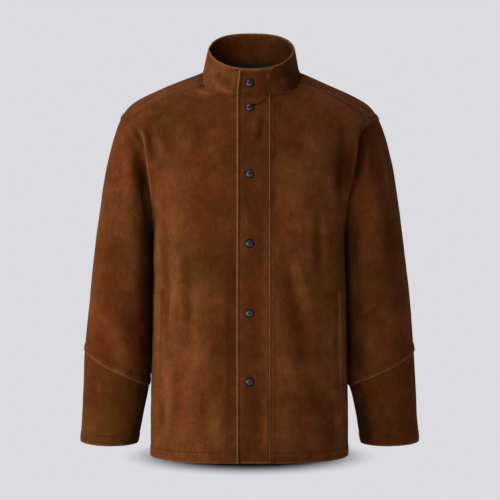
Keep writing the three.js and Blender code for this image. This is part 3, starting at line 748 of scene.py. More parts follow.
def stitch(cloth, side, distance, grid=0, part=slice(None)):
    """Adds a row of stitches along one side of a piece and returns its line."""
    index = cloth.index[grid]
    line, out = inset(cloth.p[index], cloth.normals()[index], side, distance)
    line, out = line[part], out[part]
    if len(line) > 1:
        STITCH_ROWS.append((line, out))
    return line


def border_loops(faces):
    """The closed loops of edges that only one face has, each running with its face on its left."""
    seen = {(a, b): True for face in faces for a, b in zip(face, face[1:] + face[:1])}
    follow = {a: b for a, b in seen if (b, a) not in seen}
    loops = []
    while follow:
        start = next(iter(follow))
        loop, at = [start], follow.pop(start)
        while at != start:
            loop.append(at)
            at = follow.pop(at)
        loops.append(loop)
    return loops


def seams_in_shade(cloth):
    """Over the right shoulder and round the front of the left armhole the seams lie in shade, so there they
    are
    painted without their lighter edge: the cloth counts as lying further from them."""
    x, _, z = cloth.base.T
    return LIT_WEAR_OUT["calm"] * np.maximum(ease((-60 - x) / 50) * ease((z + 124) / 16),
                                        ease((x - 168) / 8) * ease((z + 275) / 25) * ease((-84 - z) / 30))


def point_values(mesh, name, values, kind="FLOAT", field="value"):
    """Gives each point of a mesh a value that the materials or stitches read."""
    mesh.attributes.new(name, kind, "POINT").data.foreach_set(field, np.asarray(values, np.float32).ravel())


def shell(name, cloth, wall, material, **attributes):
    """A closed wall on the cloth's points: outside, inside and a rounded edge between them."""
    n, faces, count = cloth.normals(), cloth.faces(), len(cloth.p)
    depth = np.broadcast_to(np.asarray(wall, float), (count,))
    outer = cloth.p
    inner = outer - n * depth[:, None]
    vertices = [outer, inner]
    source = [np.arange(count), np.arange(count)]
    all_faces = faces + [[k + count for k in reversed(face)] for face in faces]
    at = 2 * count
    for loop in border_loops(faces):
        ring = np.array(loop)
        out = np.cross(outer[np.roll(ring, -1)] - outer[np.roll(ring, 1)], n[ring])
        out /= np.maximum(np.linalg.norm(out, axis=1, keepdims=True), 1e-9)
        up, out = n[ring] * depth[ring][:, None] / 2, out * depth[ring][:, None] / 2 * EDGE_FULL
        middle = (outer[ring] + inner[ring]) / 2
        rings = [ring]
        for k in range(1, EDGE_ARCS + 1):
            angle = math.pi / 2 - math.pi * k / (EDGE_ARCS + 1)
            vertices.append(middle + up * math.sin(angle) + out * math.cos(angle))
            source.append(ring)
            rings.append(np.arange(len(ring)) + at)
            at += len(ring)
        rings.append(ring + count)
        for low, high in zip(rings[:-1], rings[1:]):
            all_faces += np.stack([np.roll(low, -1), low, high, np.roll(high, -1)], 1).tolist()
    mesh = bpy.data.meshes.new(name)
    mesh.from_pydata((np.concatenate(vertices) * MM).tolist(), [], all_faces)
    mesh.update()
    mesh.shade_smooth()
    source = np.concatenate(source)
    for key, values in attributes.items():
        point_values(mesh, key, values[source])
    mesh.materials.append(material)
    return add_object(name, mesh)


def settle(piece, slot, *nodes):
    """Fixes a piece to the jacket's one body and hides the nodes that it stands for; its slot, for its
    finish, is not used.
    """
    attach(piece, "root")
    if nodes:
        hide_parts(*nodes)


def leather_piece(name, cloth, wall, seam, rows, **cut):
    """The wall of a leather piece, in its node's place, its colour set by wear and painted light and shade
    and by its distance from seams and sewn rows.
    """
    piece = shell(name + "_leather", cloth, wall, SUEDE, rubbed=cloth.rubbed + SKIN_AND_SHADE.get(name, 0), seam=seam,
                  sewn=distance_to(cloth.p, rows))
    settle(piece, "suede", name)


# ---------------------------------------------------------------- materials


class Wire:
    """A node's output, which can be written in sums."""

    def __init__(self, maker, socket):
        self.maker, self.socket = maker, socket

    def math(self, operation, *values):
        return self.maker.node("Math", {"operation": operation}, *values)

    def __add__(self, other):
        return self.math("ADD", self, other)

    def __sub__(self, other):
        return self.math("SUBTRACT", self, other)

    def __rsub__(self, other):
        return self.math("SUBTRACT", other, self)

    def __mul__(self, other):
        return self.math("MULTIPLY", self, other)

    def __truediv__(self, other):
        return self.math("DIVIDE", self, other)

    def __rpow__(self, other):
        return self.math("POWER", other, self)

    __radd__, __rmul__ = __add__, __mul__

    def clamp(self):
        return self.maker.node("Clamp", {}, self, 0.0, 1.0)


class Tree:
    """Builds the nodes of a material, the world or a Geometry Nodes group."""

    def __init__(self, tree):
        self.tree = tree
        tree.nodes.clear()

    def node(self, kind, settings=None, *values, out=0, **named):
        """A node of a type, with its settings and the values or links of its sockets, in order or by name."""
        node = self.tree.nodes.new(kind if "Node" in kind else "ShaderNode" + kind)
        for key, value in (settings or {}).items():
            if key == "stops":
                ramp = node.color_ramp.elements
                while len(ramp) < len(value):
                    ramp.new(0.5)
                for element, (position, colour) in zip(ramp, value):
                    element.position, element.color = position, (*colour, 1)
            else:
                setattr(node, key, value)
        for key, value in [*enumerate(values), *named.items()]:
            socket = node.inputs[key if isinstance(key, int) else key.replace("_", " ")]
            if isinstance(value, Wire):
                self.tree.links.new(value.socket, socket)
            elif value is not None:
                socket.default_value = (*value, 1) if socket.type == "RGBA" else value
        return Wire(self, node.outputs[out]) if node.outputs else None


class Paint(Tree):
    """Builds one material, whose patterns lie in the piece's own place."""

    def __init__(self, name):
        self.material = bpy.data.materials.new(name)
        self.material.use_nodes = True
        super().__init__(self.material.node_tree)
        self.place = self.node("TexCoord", out="Object")

    def mapped(self, **change):
        return self.node("Mapping", {}, Vector=self.place, **change)

    def noise(self, scale, detail=2.0, roughness=0.5, place=None):
        return self.node("TexNoise", {}, Vector=place or self.place, Scale=scale, Detail=detail,
                         Roughness=roughness)

    def wave(self, direction, scale, distortion):
        return self.node("TexWave", {"bands_direction": direction}, Vector=self.place, Scale=scale,
                         Distortion=distortion)

    def attribute(self, name):
        return self.node("Attribute", {"attribute_name": name}, out="Fac")

    def band(self, value, at, wide):
        """1 where a value is at a height, falling off to both sides."""
        off = (value - at) / wide
        return 2.718 ** (off * off * -1)

    def mix(self, factor, a, b):
        return self.node("Mix", {"data_type": "RGBA"}, factor, *[None] * 5, a, b, out=2)

    def bump(self, height, strength, distance):
        return self.node("Bump", {}, Height=height, Strength=strength, Distance=distance)

    def finish(self, shader="BsdfPrincipled", *values, **sockets):
        self.node("OutputMaterial", {}, self.node(shader, {}, *values, **sockets))
        return self.material


TONES = [(0.02, (0.024, 0.0058, 0.001)), (0.28, (0.05, 0.0125, 0.0022)), (0.5, (0.08, 0.0216, 0.0044)),
         (0.74, (0.135, 0.0425, 0.0115)), (1, (0.19, 0.063, 0.018))]
OLIVE, RED = (0.076, 0.0282, 0.0052), (0.092, 0.0185, 0.0046)
# the lighter colour of worn seam edges, also a painted highlight on them; painted shade in crevices and
# stitch holes
WEAR_AND_HIGHLIGHT, CREVICE_SHADE = (0.2, 0.08, 0.033), (0.022, 0.006, 0.002)


def suede():
    paint = Paint("brushed_suede")
    blotch = paint.noise(15, 3, 0.55)
    cloud = paint.noise(46, 3, 0.6)
    brushed = paint.noise(130, 3, 0.65, paint.mapped(Scale=(1, 1, 0.45)))
    nap = paint.noise(520, 4, 0.7)
    fibre = paint.noise(1500, 2, 0.6)
    seam = paint.attribute("seam")
    # seam edges are painted lighter: wear, with a painted highlight on the raised edge
    edge = paint.band(seam, 1.3, 2.5) * (cloud * 1.6 + 0.1).clamp()
    # painted shade in the crevice along lapped and cut edges and in the stitch holes, with darker seam joints
    crevice_shade = paint.band(seam, -0.4, 0.9)
    groove = paint.band(paint.attribute("sewn"), 0, 1.2)
    # the piece's wear and its painted light and shade lighten or darken the tone
    tone = blotch * 0.6 + cloud * 0.42 + brushed * 0.34 + nap * 0.8 - 0.51 + paint.attribute("rubbed") * 0.24
    brown = paint.node("ValToRGB", {"stops": TONES}, tone)
    hue = paint.noise(26, 6, 0.74, paint.mapped(Location=(3, 1, 2)))
    wide_hue = paint.noise(7, 2, 0.5, paint.mapped(Location=(1, 4, 2)))
    fine_hue = paint.noise(480, 2, 0.6, paint.mapped(Location=(2, 7, 5)))
    turn = (hue - 0.5) * 3.4 + (wide_hue - 0.5) * 2.2 + (fine_hue - 0.5) * 3
    tinted = paint.mix(turn.clamp(), brown, OLIVE)
    tinted = paint.mix((turn * -1).clamp(), tinted, RED)
    lit_worn_edges = paint.mix((edge + (fibre - 0.62) * 1.2).clamp(), tinted, WEAR_AND_HIGHLIGHT)
    colour = paint.mix((crevice_shade * 0.75 + groove * 0.35).clamp(), lit_worn_edges, CREVICE_SHADE)
    bump = paint.bump(nap * 0.5 + fibre * 0.2 + brushed * 0.9 + cloud * 1.2 - groove * 1.1, 0.55, 0.0009)
    return paint.finish(Base_Color=colour, Roughness=0.95, Specular_IOR_Level=0.03, Sheen_Weight=0.03,
                        Sheen_Roughness=0.5, Sheen_Tint=(1, 0.6, 0.35), Normal=bump)


def lining_cloth():
    paint = Paint("dark_woven_lining")
    weave = paint.wave("X", 260, 0.6) * 0.5 + paint.wave("Z", 260, 0.6) * 0.5
    uneven = paint.noise(60, 3)
    colour = paint.mix((weave * 0.6 + uneven * 0.5 - 0.1).clamp(), (0.01, 0.008, 0.005), (0.04, 0.033, 0.023))
    return paint.finish(Base_Color=colour, Roughness=0.85, Specular_IOR_Level=0.2,
                        Normal=paint.bump(weave, 0.4, 0.0003))


def thread():
    paint = Paint("sewing_thread")
    twist = paint.wave("DIAGONAL", 900, 1)
    uneven = paint.noise(90, 3)
    colour = paint.mix((twist * 0.4 + uneven * 0.6).clamp(), (0.085, 0.028, 0.008), (0.17, 0.068, 0.024))
    return paint.finish(Base_Color=colour, Roughness=0.85, Specular_IOR_Level=0.05,
                        Normal=paint.bump(twist, 0.3, 0.0001))


def gunmetal():
    """Pale metal with a painted dark middle and a painted dark rim: painted reflections and shade on the
    domed cap.
    """
    paint = Paint("gunmetal")
    cloudy = paint.noise(300, 4, 0.6)
    scratched = paint.noise(700, 3, 0.5, paint.mapped(Scale=(1, 1, 9)))
    clean = paint.mix(cloudy, (0.03, 0.034, 0.033), (0.1, 0.105, 0.1))
    radius = paint.attribute("radius")
    # painted reflection: the rim and the middle are painted dark, as the cap's dark reflections and shade
    painted_dark_reflection = ((radius - 5.6) * 0.9).clamp() + ((4.4 - radius) * 0.9).clamp() * 0.8
    colour = paint.mix(painted_dark_reflection, clean, (0.007, 0.0065, 0.006))
    return paint.finish(Base_Color=colour, Metallic=0.85, Roughness=cloudy * 0.2 + scratched * 0.1 + 0.34,
                        Normal=paint.bump(scratched, 0.15, 0.0001))


SUEDE, LINING, THREAD, METAL = suede(), lining_cloth(), thread(), gunmetal()

# ---------------------------------------------------------------- pieces

ACROSS = 66                   # steps across a half panel
LOWER = 104                   # steps from the hem to the underarm
UPPER = 76                    # steps from the underarm to the top
STRIP = 12                    # steps of the back's strip over the shoulder
AROUND = 120                  # steps round a sleeve
LONG = {"across": 265, "lower": 440, "upper": 320, "strip": 50}    # about how long these are


def axis(p):
    return np.array([0, 0, p[2]])


def back_middle(p):
    return np.array([p[0] * 0.6, 0, p[2] - 60])


def mirrored(grid, side):
    """A half panel drawn at the left, on its own side."""
    return grid * np.array([side, 1, 1])


def lower_steps():
    return steps(LOWER, LONG["lower"], start=HEM_STEPS)


def front_grid(side):
    edge, half = FLAP["left"], 188
    beside = [2 / math.pi * math.asin(((edge + d) / half) ** (SQUARE / 2)) * LONG["across"]
              for d in (-0.4, 0.6, 1.5, 2.4, 3.4, 4.6)]
    across = steps(ACROSS, LONG["across"], start=beside, end=EDGE)
    low = lower_steps() - 1
    high = rows_up(UPPER, LONG["upper"], EDGE)[1:]
    up = np.concatenate([np.repeat(low[:, None], len(across), 1), high[:, None] * seam_up(across)[None]])
    return mirrored(body_point("front", across[None], up), side), len(low)


def back_form():
    """The back as even grids, pulled smooth between its seams: two halves, each with its shoulder's strip."""
    across = np.linspace(0, 1, ACROSS + 1)
    fine = ACROSS / SMOOTH["columns"]
    grids = []
    for side in SIDES.values():
        up = np.concatenate([np.linspace(-1, 0, LOWER + 1), rows_up(UPPER, LONG["upper"])[1:]])
        grids.append(mirrored(body_point("back", across[None], up[:, None]), side))
        wrapped = np.linspace(SEAM_START, 1, round(ACROSS * (1 - SEAM_START)) + 1)
        up = mix(seam_up(wrapped)[None], 1.0, np.linspace(0, 1, STRIP + 1)[:, None])
        grids.append(mirrored(body_point("front", wrapped[None], up), side))
    cloth = Cloth(grids, back_middle)
    unique, count = cloth.edges()
    held = np.zeros(len(cloth.p), bool)
    held[unique[count == 1].ravel()] = True
    held |= np.abs(cloth.p[:, 1]) < 0.3
    give = ease((cloth.p[:, 2] - SMOOTH["above"]) / SMOOTH["over"])
    give = give * ease((SMOOTH["within"] - np.abs(cloth.p[:, 0])) / SMOOTH["over"]) * ~held
    cloth.smooth(round(SMOOTH["times"] / 2 * fine ** 2 / 0.8), 0.8 * give)
    return [cloth.grid(i) for i in range(4)]


def shape_body(cloth, creases, laps, hems, seams):
    """Creases, slack, raised seam edges and the hem; returns the distances that the leather shows."""
    p = cloth.base
    calm = ease((distance_to(p, seams) - 1.5) / 9)
    rise, cloth.rubbed = crease_rise(creases, p[:, 0], p[:, 2])
    lap, hem = distance_to(p, laps), distance_to(p, hems)
    cloth.push((rise + rumple(p)) * calm)
    beside_flap = 1.3 * hump(p[:, 0] - FLAP["left"], 2.4, 1.7) * ease((-54 - p[:, 2]) / 12) * (p[:, 1] < 0)
    cloth.push(lap_rise(lap) + hem_rise(hem) + beside_flap)
    # the ridge beside the flap is painted lighter too: a painted highlight on it
    cloth.rubbed = cloth.rubbed + 1.2 * beside_flap
    return lap, hem


def doubled(wall, hem):
    """The wall's thickness, twice as much where the hem is turned up inside."""
    return wall * (1 + (1 - ease((hem - TURN_UP + 1) / 4)))


def make_front(word):
    grid, underarm = front_grid(SIDES[word])
    cloth = Cloth([grid], axis)
    give = np.ones(len(cloth.p))
    border = cloth.index[0]
    give[np.concatenate([border[0], border[-1], border[:, 0], border[:, -1]])] = 0
    cloth.smooth(60, 0.8 * give * ease((cloth.p[:, 2] + 360) / 40))
    cloth.hang()
    base = cloth.grid()
    armhole = base[:, -1][underarm:]
    lap, hem = shape_body(cloth, FRONT_CREASES, [armhole], [base[0]], [base[-1], armhole, base[:, 0]])
    rows = [stitch(cloth, "right", d, part=slice(underarm + 2, None)) for d in ROWS]
    rows += [stitch(cloth, "low", TURN_UP, part=slice(10, None))]
    seam = np.minimum(lap * ARMHOLE_LIT_WEAR[word], hem + LIT_WEAR_OUT["hem"]) + seams_in_shade(cloth)
    leather_piece("front_" + word, cloth, doubled(LEATHER, hem), seam, rows, flat=(0.31, 0.75), area=0.178)


def make_back():
    halves = back_form()
    across = steps(ACROSS, LONG["across"], end=EDGE) * ACROSS
    low = lower_steps() * LOWER
    high = LOWER + steps(UPPER, 330)[1:] * UPPER
    first = round(ACROSS * SEAM_START)
    grids = []
    for i in (0, 2):
        grids.append(resample(halves[i], np.concatenate([low, high]), across))
        over = steps(STRIP, LONG["strip"], start=EDGE) * STRIP
        grids.append(resample(halves[i + 1], over, across[across >= first - 1e-9] - first))
    cloth = Cloth(grids, back_middle)
    cloth.hang()
    laps, hems, seams = [], [], []
    for i in (0, 2):
        half, strip = cloth.grid(i), cloth.grid(i + 1)
        armhole = np.concatenate([half[len(low):, -1], strip[::-1, -1]])
        laps += [strip[0], armhole]
        hems.append(half[0])
        seams += [strip[0], armhole, half[-1][: ACROSS // 3 + 1], half[: len(low), -1]]
    lap, hem = shape_body(cloth, BACK_CREASES, laps, hems, seams)
    rows = []
    for i in (0, 2):
        for d in ROWS:
            rows.append(stitch(cloth, "right", d, i, slice(len(low) + 2, None)))
            rows.append(stitch(cloth, "right", d, i + 1))
            rows.append(stitch(cloth, "low", d, i + 1))
        rows.append(stitch(cloth, "low", TURN_UP, i))
    seam = np.minimum(lap, hem + LIT_WEAR_OUT["hem"]) + seams_in_shade(cloth)
    leather_piece("back", cloth, doubled(LEATHER, hem), seam, rows, flat=(0.58, 0.83), area=0.4)
    return cloth


def facing_body(cloth):
    """How far a sleeve's leather faces the body: 1 straight at it, -1 away from it."""
    return -cloth.normals()[:, 0] * np.sign(cloth.base[:, 0])


def shape_sleeve(cloth, word, calm_lines):
    x, y, z = cloth.base.T
    rise = rumple(cloth.base)
    _, back, _ = cloth.normals().T
    inward = facing_body(cloth)
    beside = np.abs(x)
    for face, facing, along in (("front", -back, beside), ("back", back, beside), ("inner", inward, y)):
        more, rubbed = crease_rise(SLEEVE_CREASES[word, face], along, z)
        shown = ease(np.maximum(facing, 0) * 1.6)
        if face == "inner":
            inner = shown * more
        else:
            rise += shown * more
            cloth.rubbed = cloth.rubbed + shown * rubbed
    # painted shade: the side of the arm that faces the body is painted darker
    cloth.rubbed = cloth.rubbed - SLEEVE_PAINTED_SHADE[word] * ease((inward - 0.6) / 0.35) * ease((-150 - z) / 60)
    cloth.push(rise * ease((distance_to(cloth.base, calm_lines) - 0.5) / 5) + inner)


def tube_cloth(word, start, end, shares, cap=None):
    """A length of the sleeve between two seam lines, by shares of the way down, with its cap if any."""
    turn = np.linspace(0, 360, AROUND + 1)
    height = mix(ring_height(start, turn)[None], ring_height(end, turn)[None], shares[:, None])
    grid = tube_point(turn[None], height)
    if cap is not None:
        grid = np.concatenate([cap_point(turn[None], cap[:, None]), grid])
    side = SIDES[word]
    return Cloth([mirrored(grid, side)], lambda p: np.array([side * (235 if p[2] > -400 else 258), 0, p[2]]))


def make_sleeve(word):
    cap = steps(34, 150, start=(1.0, 3.0, 6.0))
    cloth = tube_cloth(word, CAP_END, FOREARM_SEAM, steps(64, 250, end=EDGE)[1:], cap)
    cloth.hang()
    cloth.lean_in()
    base = cloth.grid()
    armhole, seam = base[0], base[-1]
    shape_sleeve(cloth, word, [armhole, seam])
    lap = distance_to(cloth.base, [seam])
    cloth.push(lap_rise(lap))
    rows = [stitch(cloth, "high", d) for d in ROWS]
    # painted shade: a dark line along the wearer's left armhole seam
    if word == "left":
        near = hump(distance_to(cloth.base, [armhole]), 0, 6)
        cloth.rubbed = cloth.rubbed - 5 * near * ease((-140 - cloth.base[:, 2]) / 30)
    leather_piece("sleeve_" + word, cloth, LEATHER, lap, rows, flat=(0.46, 0.5), area=0.172)


def make_forearm(word):
    cloth = tube_cloth(word, FOREARM_SEAM, CUFF, steps(44, 145, start=(1.0, 3.0), end=HEM_STEPS))
    cloth.lean_in()
    base = cloth.grid()
    shape_sleeve(cloth, word, [base[0]])
    # painted shade: the side of the forearm that faces the body is painted darker
    cloth.rubbed = cloth.rubbed - FOREARM_PAINTED_SHADE[word] * ease((facing_body(cloth) - 0.5) / 0.4)
    hem = distance_to(cloth.base, [base[-1]])
    cloth.push(hem_rise(hem))
    wall, seam = doubled(LEATHER, hem), hem + LIT_WEAR_OUT["cuff"]
    rows = [stitch(cloth, "high", TURN_UP)]
    leather_piece("forearm_" + word, cloth, wall, seam, rows, flat=(0.37, 0.19), area=0.056)


def make_collar():
    turn = np.linspace(-180, 180, 181)
    turn[90] = 1e-7
    up = steps(22, 58, start=(1.0, 3.0), end=(1.0, 3.0, 6.0))
    cloth = Cloth([collar_point(turn[None], np.repeat(up[:, None], len(turn), 1))], axis)
    cloth.hang()
    p, base = cloth.base, cloth.grid()
    rise = 0.8 * rumple(p)
    for round_it, height, wide, high, shading_and_wear in COLLAR_DENTS:
        centre = collar_point(np.array(float(round_it)), np.array(height))
        shape = hump(np.linalg.norm(p - centre, axis=1), 0, wide)
        rise += high * shape
        # dents are painted darker and bulges lighter: painted shade and light, with each dent's wear and
        # painted shade
        cloth.rubbed = cloth.rubbed + (np.tanh(high / 4) + shading_and_wear) * shape
    cloth.push(rise * ease((distance_to(p, [base[0]]) - 1) / 6))
    seam = distance_to(p, [base[-1]]) * RIM_LIT_WEAR + LIT_WEAR_OUT["rim"]
    rows = [stitch(cloth, "low", 2.5)]
    leather_piece("collar", cloth, COLLAR_WALL, seam, rows, flat=(0.53, 0.075), area=0.033)


def solve(rising, value, low, high):
    """Finds where a rising function reaches each value."""
    low, high = np.full(np.shape(value), float(low)), np.full(np.shape(value), float(high))
    for _ in range(36):
        middle = (low + high) / 2
        under = rising(middle) < value
        low, high = np.where(under, middle, low), np.where(under, high, middle)
    return low


def on_body(x, up):
    """A point of the front at a distance from the middle line."""
    across = solve(lambda a: body_point("front", a, up)[..., 0], np.abs(x), 0, 1)
    return body_point("front", across, up) * points(np.where(x < 0, -1.0, 1.0), 1, 1)


def on_collar(x, up):
    turn = solve(lambda t: collar_point(t, up)[..., 0], x, -90, 90)
    return collar_point(turn, up)


def make_flap():
    """The front flap: free at the wearer's right, sewn down at the left, and its upper end on the collar."""
    free, sewn = (0.4, 1.2, 3.0, 6.0, 8.5, 11.0), (0.4, 1.2, 2.2, 3.2, 4.2, 6.0, 8.0, 10.0)
    share = steps(36, FLAP["left"] - FLAP["right"], start=free, end=sewn)
    up = np.concatenate([lower_steps() - 1, rows_up(150, LONG["upper"])[1:]])
    x = mix(FLAP["right"], FLAP["left"], share)
    body = on_body(*np.broadcast_arrays(x[None], up[:, None]))
    top, corner, collar_long = FLAP["top"], FLAP["corner"], 46
    tall = steps(26, collar_long, start=(1.0,), end=(0.5, 1.5, 3.0, 5.0, 7.5))[1:] * top
    below_top = collar_long * (top - tall) / top
    cut = corner - np.sqrt(np.clip(corner ** 2 - np.clip(corner - below_top, 0, corner) ** 2, 0, None))
    x = mix((FLAP["right"] + cut)[:, None], FLAP["left"], share[None])
    collar = on_collar(*np.broadcast_arrays(x, tall[:, None]))
    cloth = Cloth([np.concatenate([body, collar])], axis)
    cloth.hang()
    p, base = cloth.base, cloth.grid()
    edge = distance_to(p, [base[:, 0], base[-1]])
    sewn_edge = distance_to(p, [base[:len(up), -1]])
    collar_part = ease((p[:, 2] - (NECK_SEAM["side"] - NECK_SEAM["drop"] - 4)) / 14)
    sink = collar_part * ease((p[:, 0] - 16) / 20) * (FLAP_WALL + LIFT)
    inner = ease((edge - 1) / 12) * ease(sewn_edge / 6)
    under, _ = crease_rise(FRONT_CREASES, p[:, 0], p[:, 2])
    over, cloth.rubbed = crease_rise(FLAP_CREASES, p[:, 0], p[:, 2])
    cloth.push((under + 0.7 * rumple(p)) * ease((np.abs(p[:, 0]) + 1) / 2) + over * inner)
    roll = rolled(edge, 1.6)
    lift = LIFT + FLAP_WALL - 0.9 * (1 - roll)
    cloth.push(lift - sink + humps(edge, FLAP_BEAD) * roll + humps(sewn_edge, FLAP_RIDGE) * (1 - collar_part))
    # the flap's edges are painted lighter: wear, with a painted highlight on their raised ridges
    shading_and_wear = humps(sewn_edge, FLAP_SEWN_WEAR_AND_HIGHLIGHT) + humps(edge, FLAP_FREE_WEAR_AND_HIGHLIGHT)
    cloth.rubbed = cloth.rubbed + shading_and_wear * (1 - collar_part)
    rows = [stitch(cloth, "left", 9), stitch(cloth, "right", 6.4, part=slice(0, len(up)))]
    seam = np.minimum(edge, distance_to(p, [base[0]])) + LIT_WEAR_OUT["flap"]
    leather_piece("front_flap", cloth, FLAP_WALL, seam, rows, flat=(0.066, 0.77), area=0.05)
    return cloth


def make_welt(word):
    """The narrow welt of a side-seam pocket."""
    ends = [(UNDERARM - height) / (HEM["side"] - UNDERARM) for height in (WELT["bottom"], WELT["top"])]
    across = WELT_DRIFT[word] + mix(WELT["from"], WELT["to"], steps(12, 24, start=(0.4, 1.2), end=(0.4, 1.2)))
    up = mix(*ends, steps(60, 190, start=(0.5, 1.5), end=(0.5, 1.5)))
    cloth = Cloth([mirrored(body_point("front", across[None], up[:, None]), SIDES[word])], axis)
    p, base = cloth.base, cloth.grid()
    edge = distance_to(p, [base[0], base[-1], base[:, 0], base[:, -1]])
    creases, cloth.rubbed = crease_rise(FRONT_CREASES, p[:, 0], p[:, 2])
    cloth.push(creases + rumple(p) + LIFT + 0.1 + (WELT_WALL - 0.4) * rolled(edge, 2.6))
    rows = [stitch(cloth, s, 2.2) for s in ("left", "right")]
    rows += [stitch(cloth, s, d) for s in ("low", "high") for d in (2.5, 4.0, 5.5)]
    leather_piece("pocket_welt_" + word, cloth, WELT_WALL, edge + LIT_WEAR_OUT["welt"], rows, flat=(0.03, 0.19))


def make_lining(back):
    """The woven strip inside the back, just below the neck seam."""
    columns, rows, top = round(ACROSS / 7), round(UPPER / 4), round(UPPER * 0.015)
    inside = back.p - back.normals() * (LEATHER + 2 * LIFT)
    parts = [back.index[i][-rows - 1: -top, : columns + 1] for i in (0, 2)]
    piece = shell("neck_lining_cloth", Cloth([inside[part] for part in parts], axis), LINING_WALL, LINING)
    settle(piece, "lining", "neck_lining")


# ---------------------------------------------------------------- stitches and snaps

STITCH = {"Pitch": 4.2 * MM, "Length": 1.75 * MM, "Radius": 0.42 * MM}
STITCH_LIFT = 0.12            # of a stitch's middle above the leather
WANDER = 0.09                 # how far a stitch turns off its row


class Group(Tree):
    """Builds a Geometry Nodes group with named inputs."""

    def __init__(self, name, **inputs):
        group = bpy.data.node_groups.new(name, "GeometryNodeTree")
        for key, kind in {"Geometry": "Geometry", **inputs}.items():
            group.interface.new_socket(key, in_out="INPUT", socket_type="NodeSocket" + kind)
        group.interface.new_socket("Geometry", in_out="OUTPUT", socket_type="NodeSocketGeometry")
        super().__init__(group)
        entry = self.node("NodeGroupInput").socket.node
        self.inputs = {socket.name: Wire(self, socket) for socket in entry.outputs}

    def run(self, name, mesh, **values):
        """Applies the group to a mesh and returns the result as a new object."""
        source = add_object(name + "_path", mesh)
        modifier = source.modifiers.new("made", "NODES")
        modifier.node_group = self.tree
        for item in self.tree.interface.items_tree:
            if item.in_out == "INPUT" and item.name in values:
                modifier[item.identifier] = values[item.name]
        graph = bpy.context.evaluated_depsgraph_get()
        made = bpy.data.meshes.new_from_object(source.evaluated_get(graph), depsgraph=graph)
        bpy.data.objects.remove(source)
        made.name = name
        return add_object(name, made)


def make_stitches():
    """Every row of stitches: short padded threads along the rows, lying on the leather."""
    group = Group("rows_of_stitches", Pitch="Float", Length="Float", Radius="Float", Material="Material")
    path, pitch, length, radius, material = (group.inputs[k] for k in ("Geometry", *STITCH, "Material"))
    curve = group.node("GeometryNodeMeshToCurve", Mesh=path)
    even = group.node("GeometryNodeResampleCurve", {"mode": "LENGTH"}, Curve=curve, Length=pitch)
    wander = group.node("FunctionNodeRandomValue", {"data_type": "FLOAT_VECTOR"},
                        Min=(-WANDER,) * 3, Max=(WANDER,) * 3, Seed=5)
    tangent = group.node("GeometryNodeInputTangent")
    leaning = group.node("VectorMath", {"operation": "ADD"}, tangent, wander)
    along = group.node("FunctionNodeAlignRotationToVector", {"axis": "X"}, Vector=leaning)
    outward = group.node("GeometryNodeInputNamedAttribute", {"data_type": "FLOAT_VECTOR"}, Name="outward")
    turned = group.node("FunctionNodeAlignRotationToVector", {"axis": "Z", "pivot_axis": "X"},
                        Rotation=along, Vector=outward)
    bead = group.node("GeometryNodeMeshUVSphere", Segments=6, Rings=4, Radius=1.0)
    size = group.node("CombineXYZ", {}, length, radius, radius)
    bead = group.node("GeometryNodeTransform", Geometry=bead, Scale=size)
    spread = group.node("GeometryNodeInstanceOnPoints", Points=even, Instance=bead, Rotation=turned)
    real = group.node("GeometryNodeRealizeInstances", Geometry=spread)
    smooth = group.node("GeometryNodeSetShadeSmooth", Geometry=real)
    made = group.node("GeometryNodeSetMaterial", Geometry=smooth, Material=material)
    group.node("NodeGroupOutput", {}, made)

    vertices, edges, outs = [], [], []
    for line, out in STITCH_ROWS:
        first = len(vertices)
        out = out / np.linalg.norm(out, axis=1, keepdims=True)
        vertices += ((line + out * STITCH_LIFT) * MM).tolist()
        outs += out.tolist()
        edges += [(first + k, first + k + 1) for k in range(len(line) - 1)]
    mesh = bpy.data.meshes.new("stitch_rows")
    mesh.from_pydata(vertices, edges, [])
    point_values(mesh, "outward", outs, "FLOAT_VECTOR", "vector")
    settle(group.run("stitching", mesh, **STITCH, Material=THREAD), "thread")


# Profile of a snap cap from its middle to its foot: radius and height.
SNAP_PROFILE = [
    (0, 2.7), (1.6, 2.64), (3.0, 2.46), (4.2, 2.14), (5.1, 1.7), (5.7, 1.15), (6.0, 0.7), (6.4, 0.6),
    (6.8, 0.85), (7.3, 1.05), (7.9, 0.9), (8.5, 0.45), (9.0, -0.1), (9.1, -0.5),
]
SNAP_SIDES = 48


def snap_mesh(centre, normal):
    """A domed cap with a rolled rim, turned to face along the flap's surface."""
    bm = bmesh.new()
    turn = Vector((0, 0, 1)).rotation_difference(normal)
    rings = []
    for radius, height in SNAP_PROFILE:
        angles = [2 * math.pi * k / SNAP_SIDES for k in range(SNAP_SIDES if radius else 1)]
        ring = [Vector((radius * math.cos(angle), radius * math.sin(angle), height)) for angle in angles]
        rings.append([bm.verts.new((turn @ place + centre) * MM) for place in ring])
    for low, high in zip(rings[:-1], rings[1:]):
        for k in range(SNAP_SIDES):
            b = (k + 1) % SNAP_SIDES
            face = [low[0], high[k], high[b]] if len(low) == 1 else [low[k], high[k], high[b], low[b]]
            bm.faces.new(face).smooth = True
    bm.faces.new(list(reversed(rings[-1])))
    bmesh.ops.recalc_face_normals(bm, faces=bm.faces)
    mesh = bpy.data.meshes.new("snap")
    bm.to_mesh(mesh)
    bm.free()
    point_values(mesh, "radius", [(v.co / MM - centre).length for v in mesh.vertices])
    mesh.materials.append(METAL)
    return mesh


def make_snaps(flap):
    normals = flap.normals()
    for name in sorted(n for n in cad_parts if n.startswith("snap_")):
        low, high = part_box(name)
        middle = np.array([(a + b) / 2 / MM for a, b in zip(low, high)])
        near = np.linalg.norm(flap.p[:, [0, 2]] - middle[[0, 2]], axis=1).argmin()
        centre = Vector((middle[0], flap.p[near][1], middle[2]))
        settle(add_object(name + "_cap", snap_mesh(centre, Vector(normals[near]))), "snap_metal", name)


# ---------------------------------------------------------------- studio

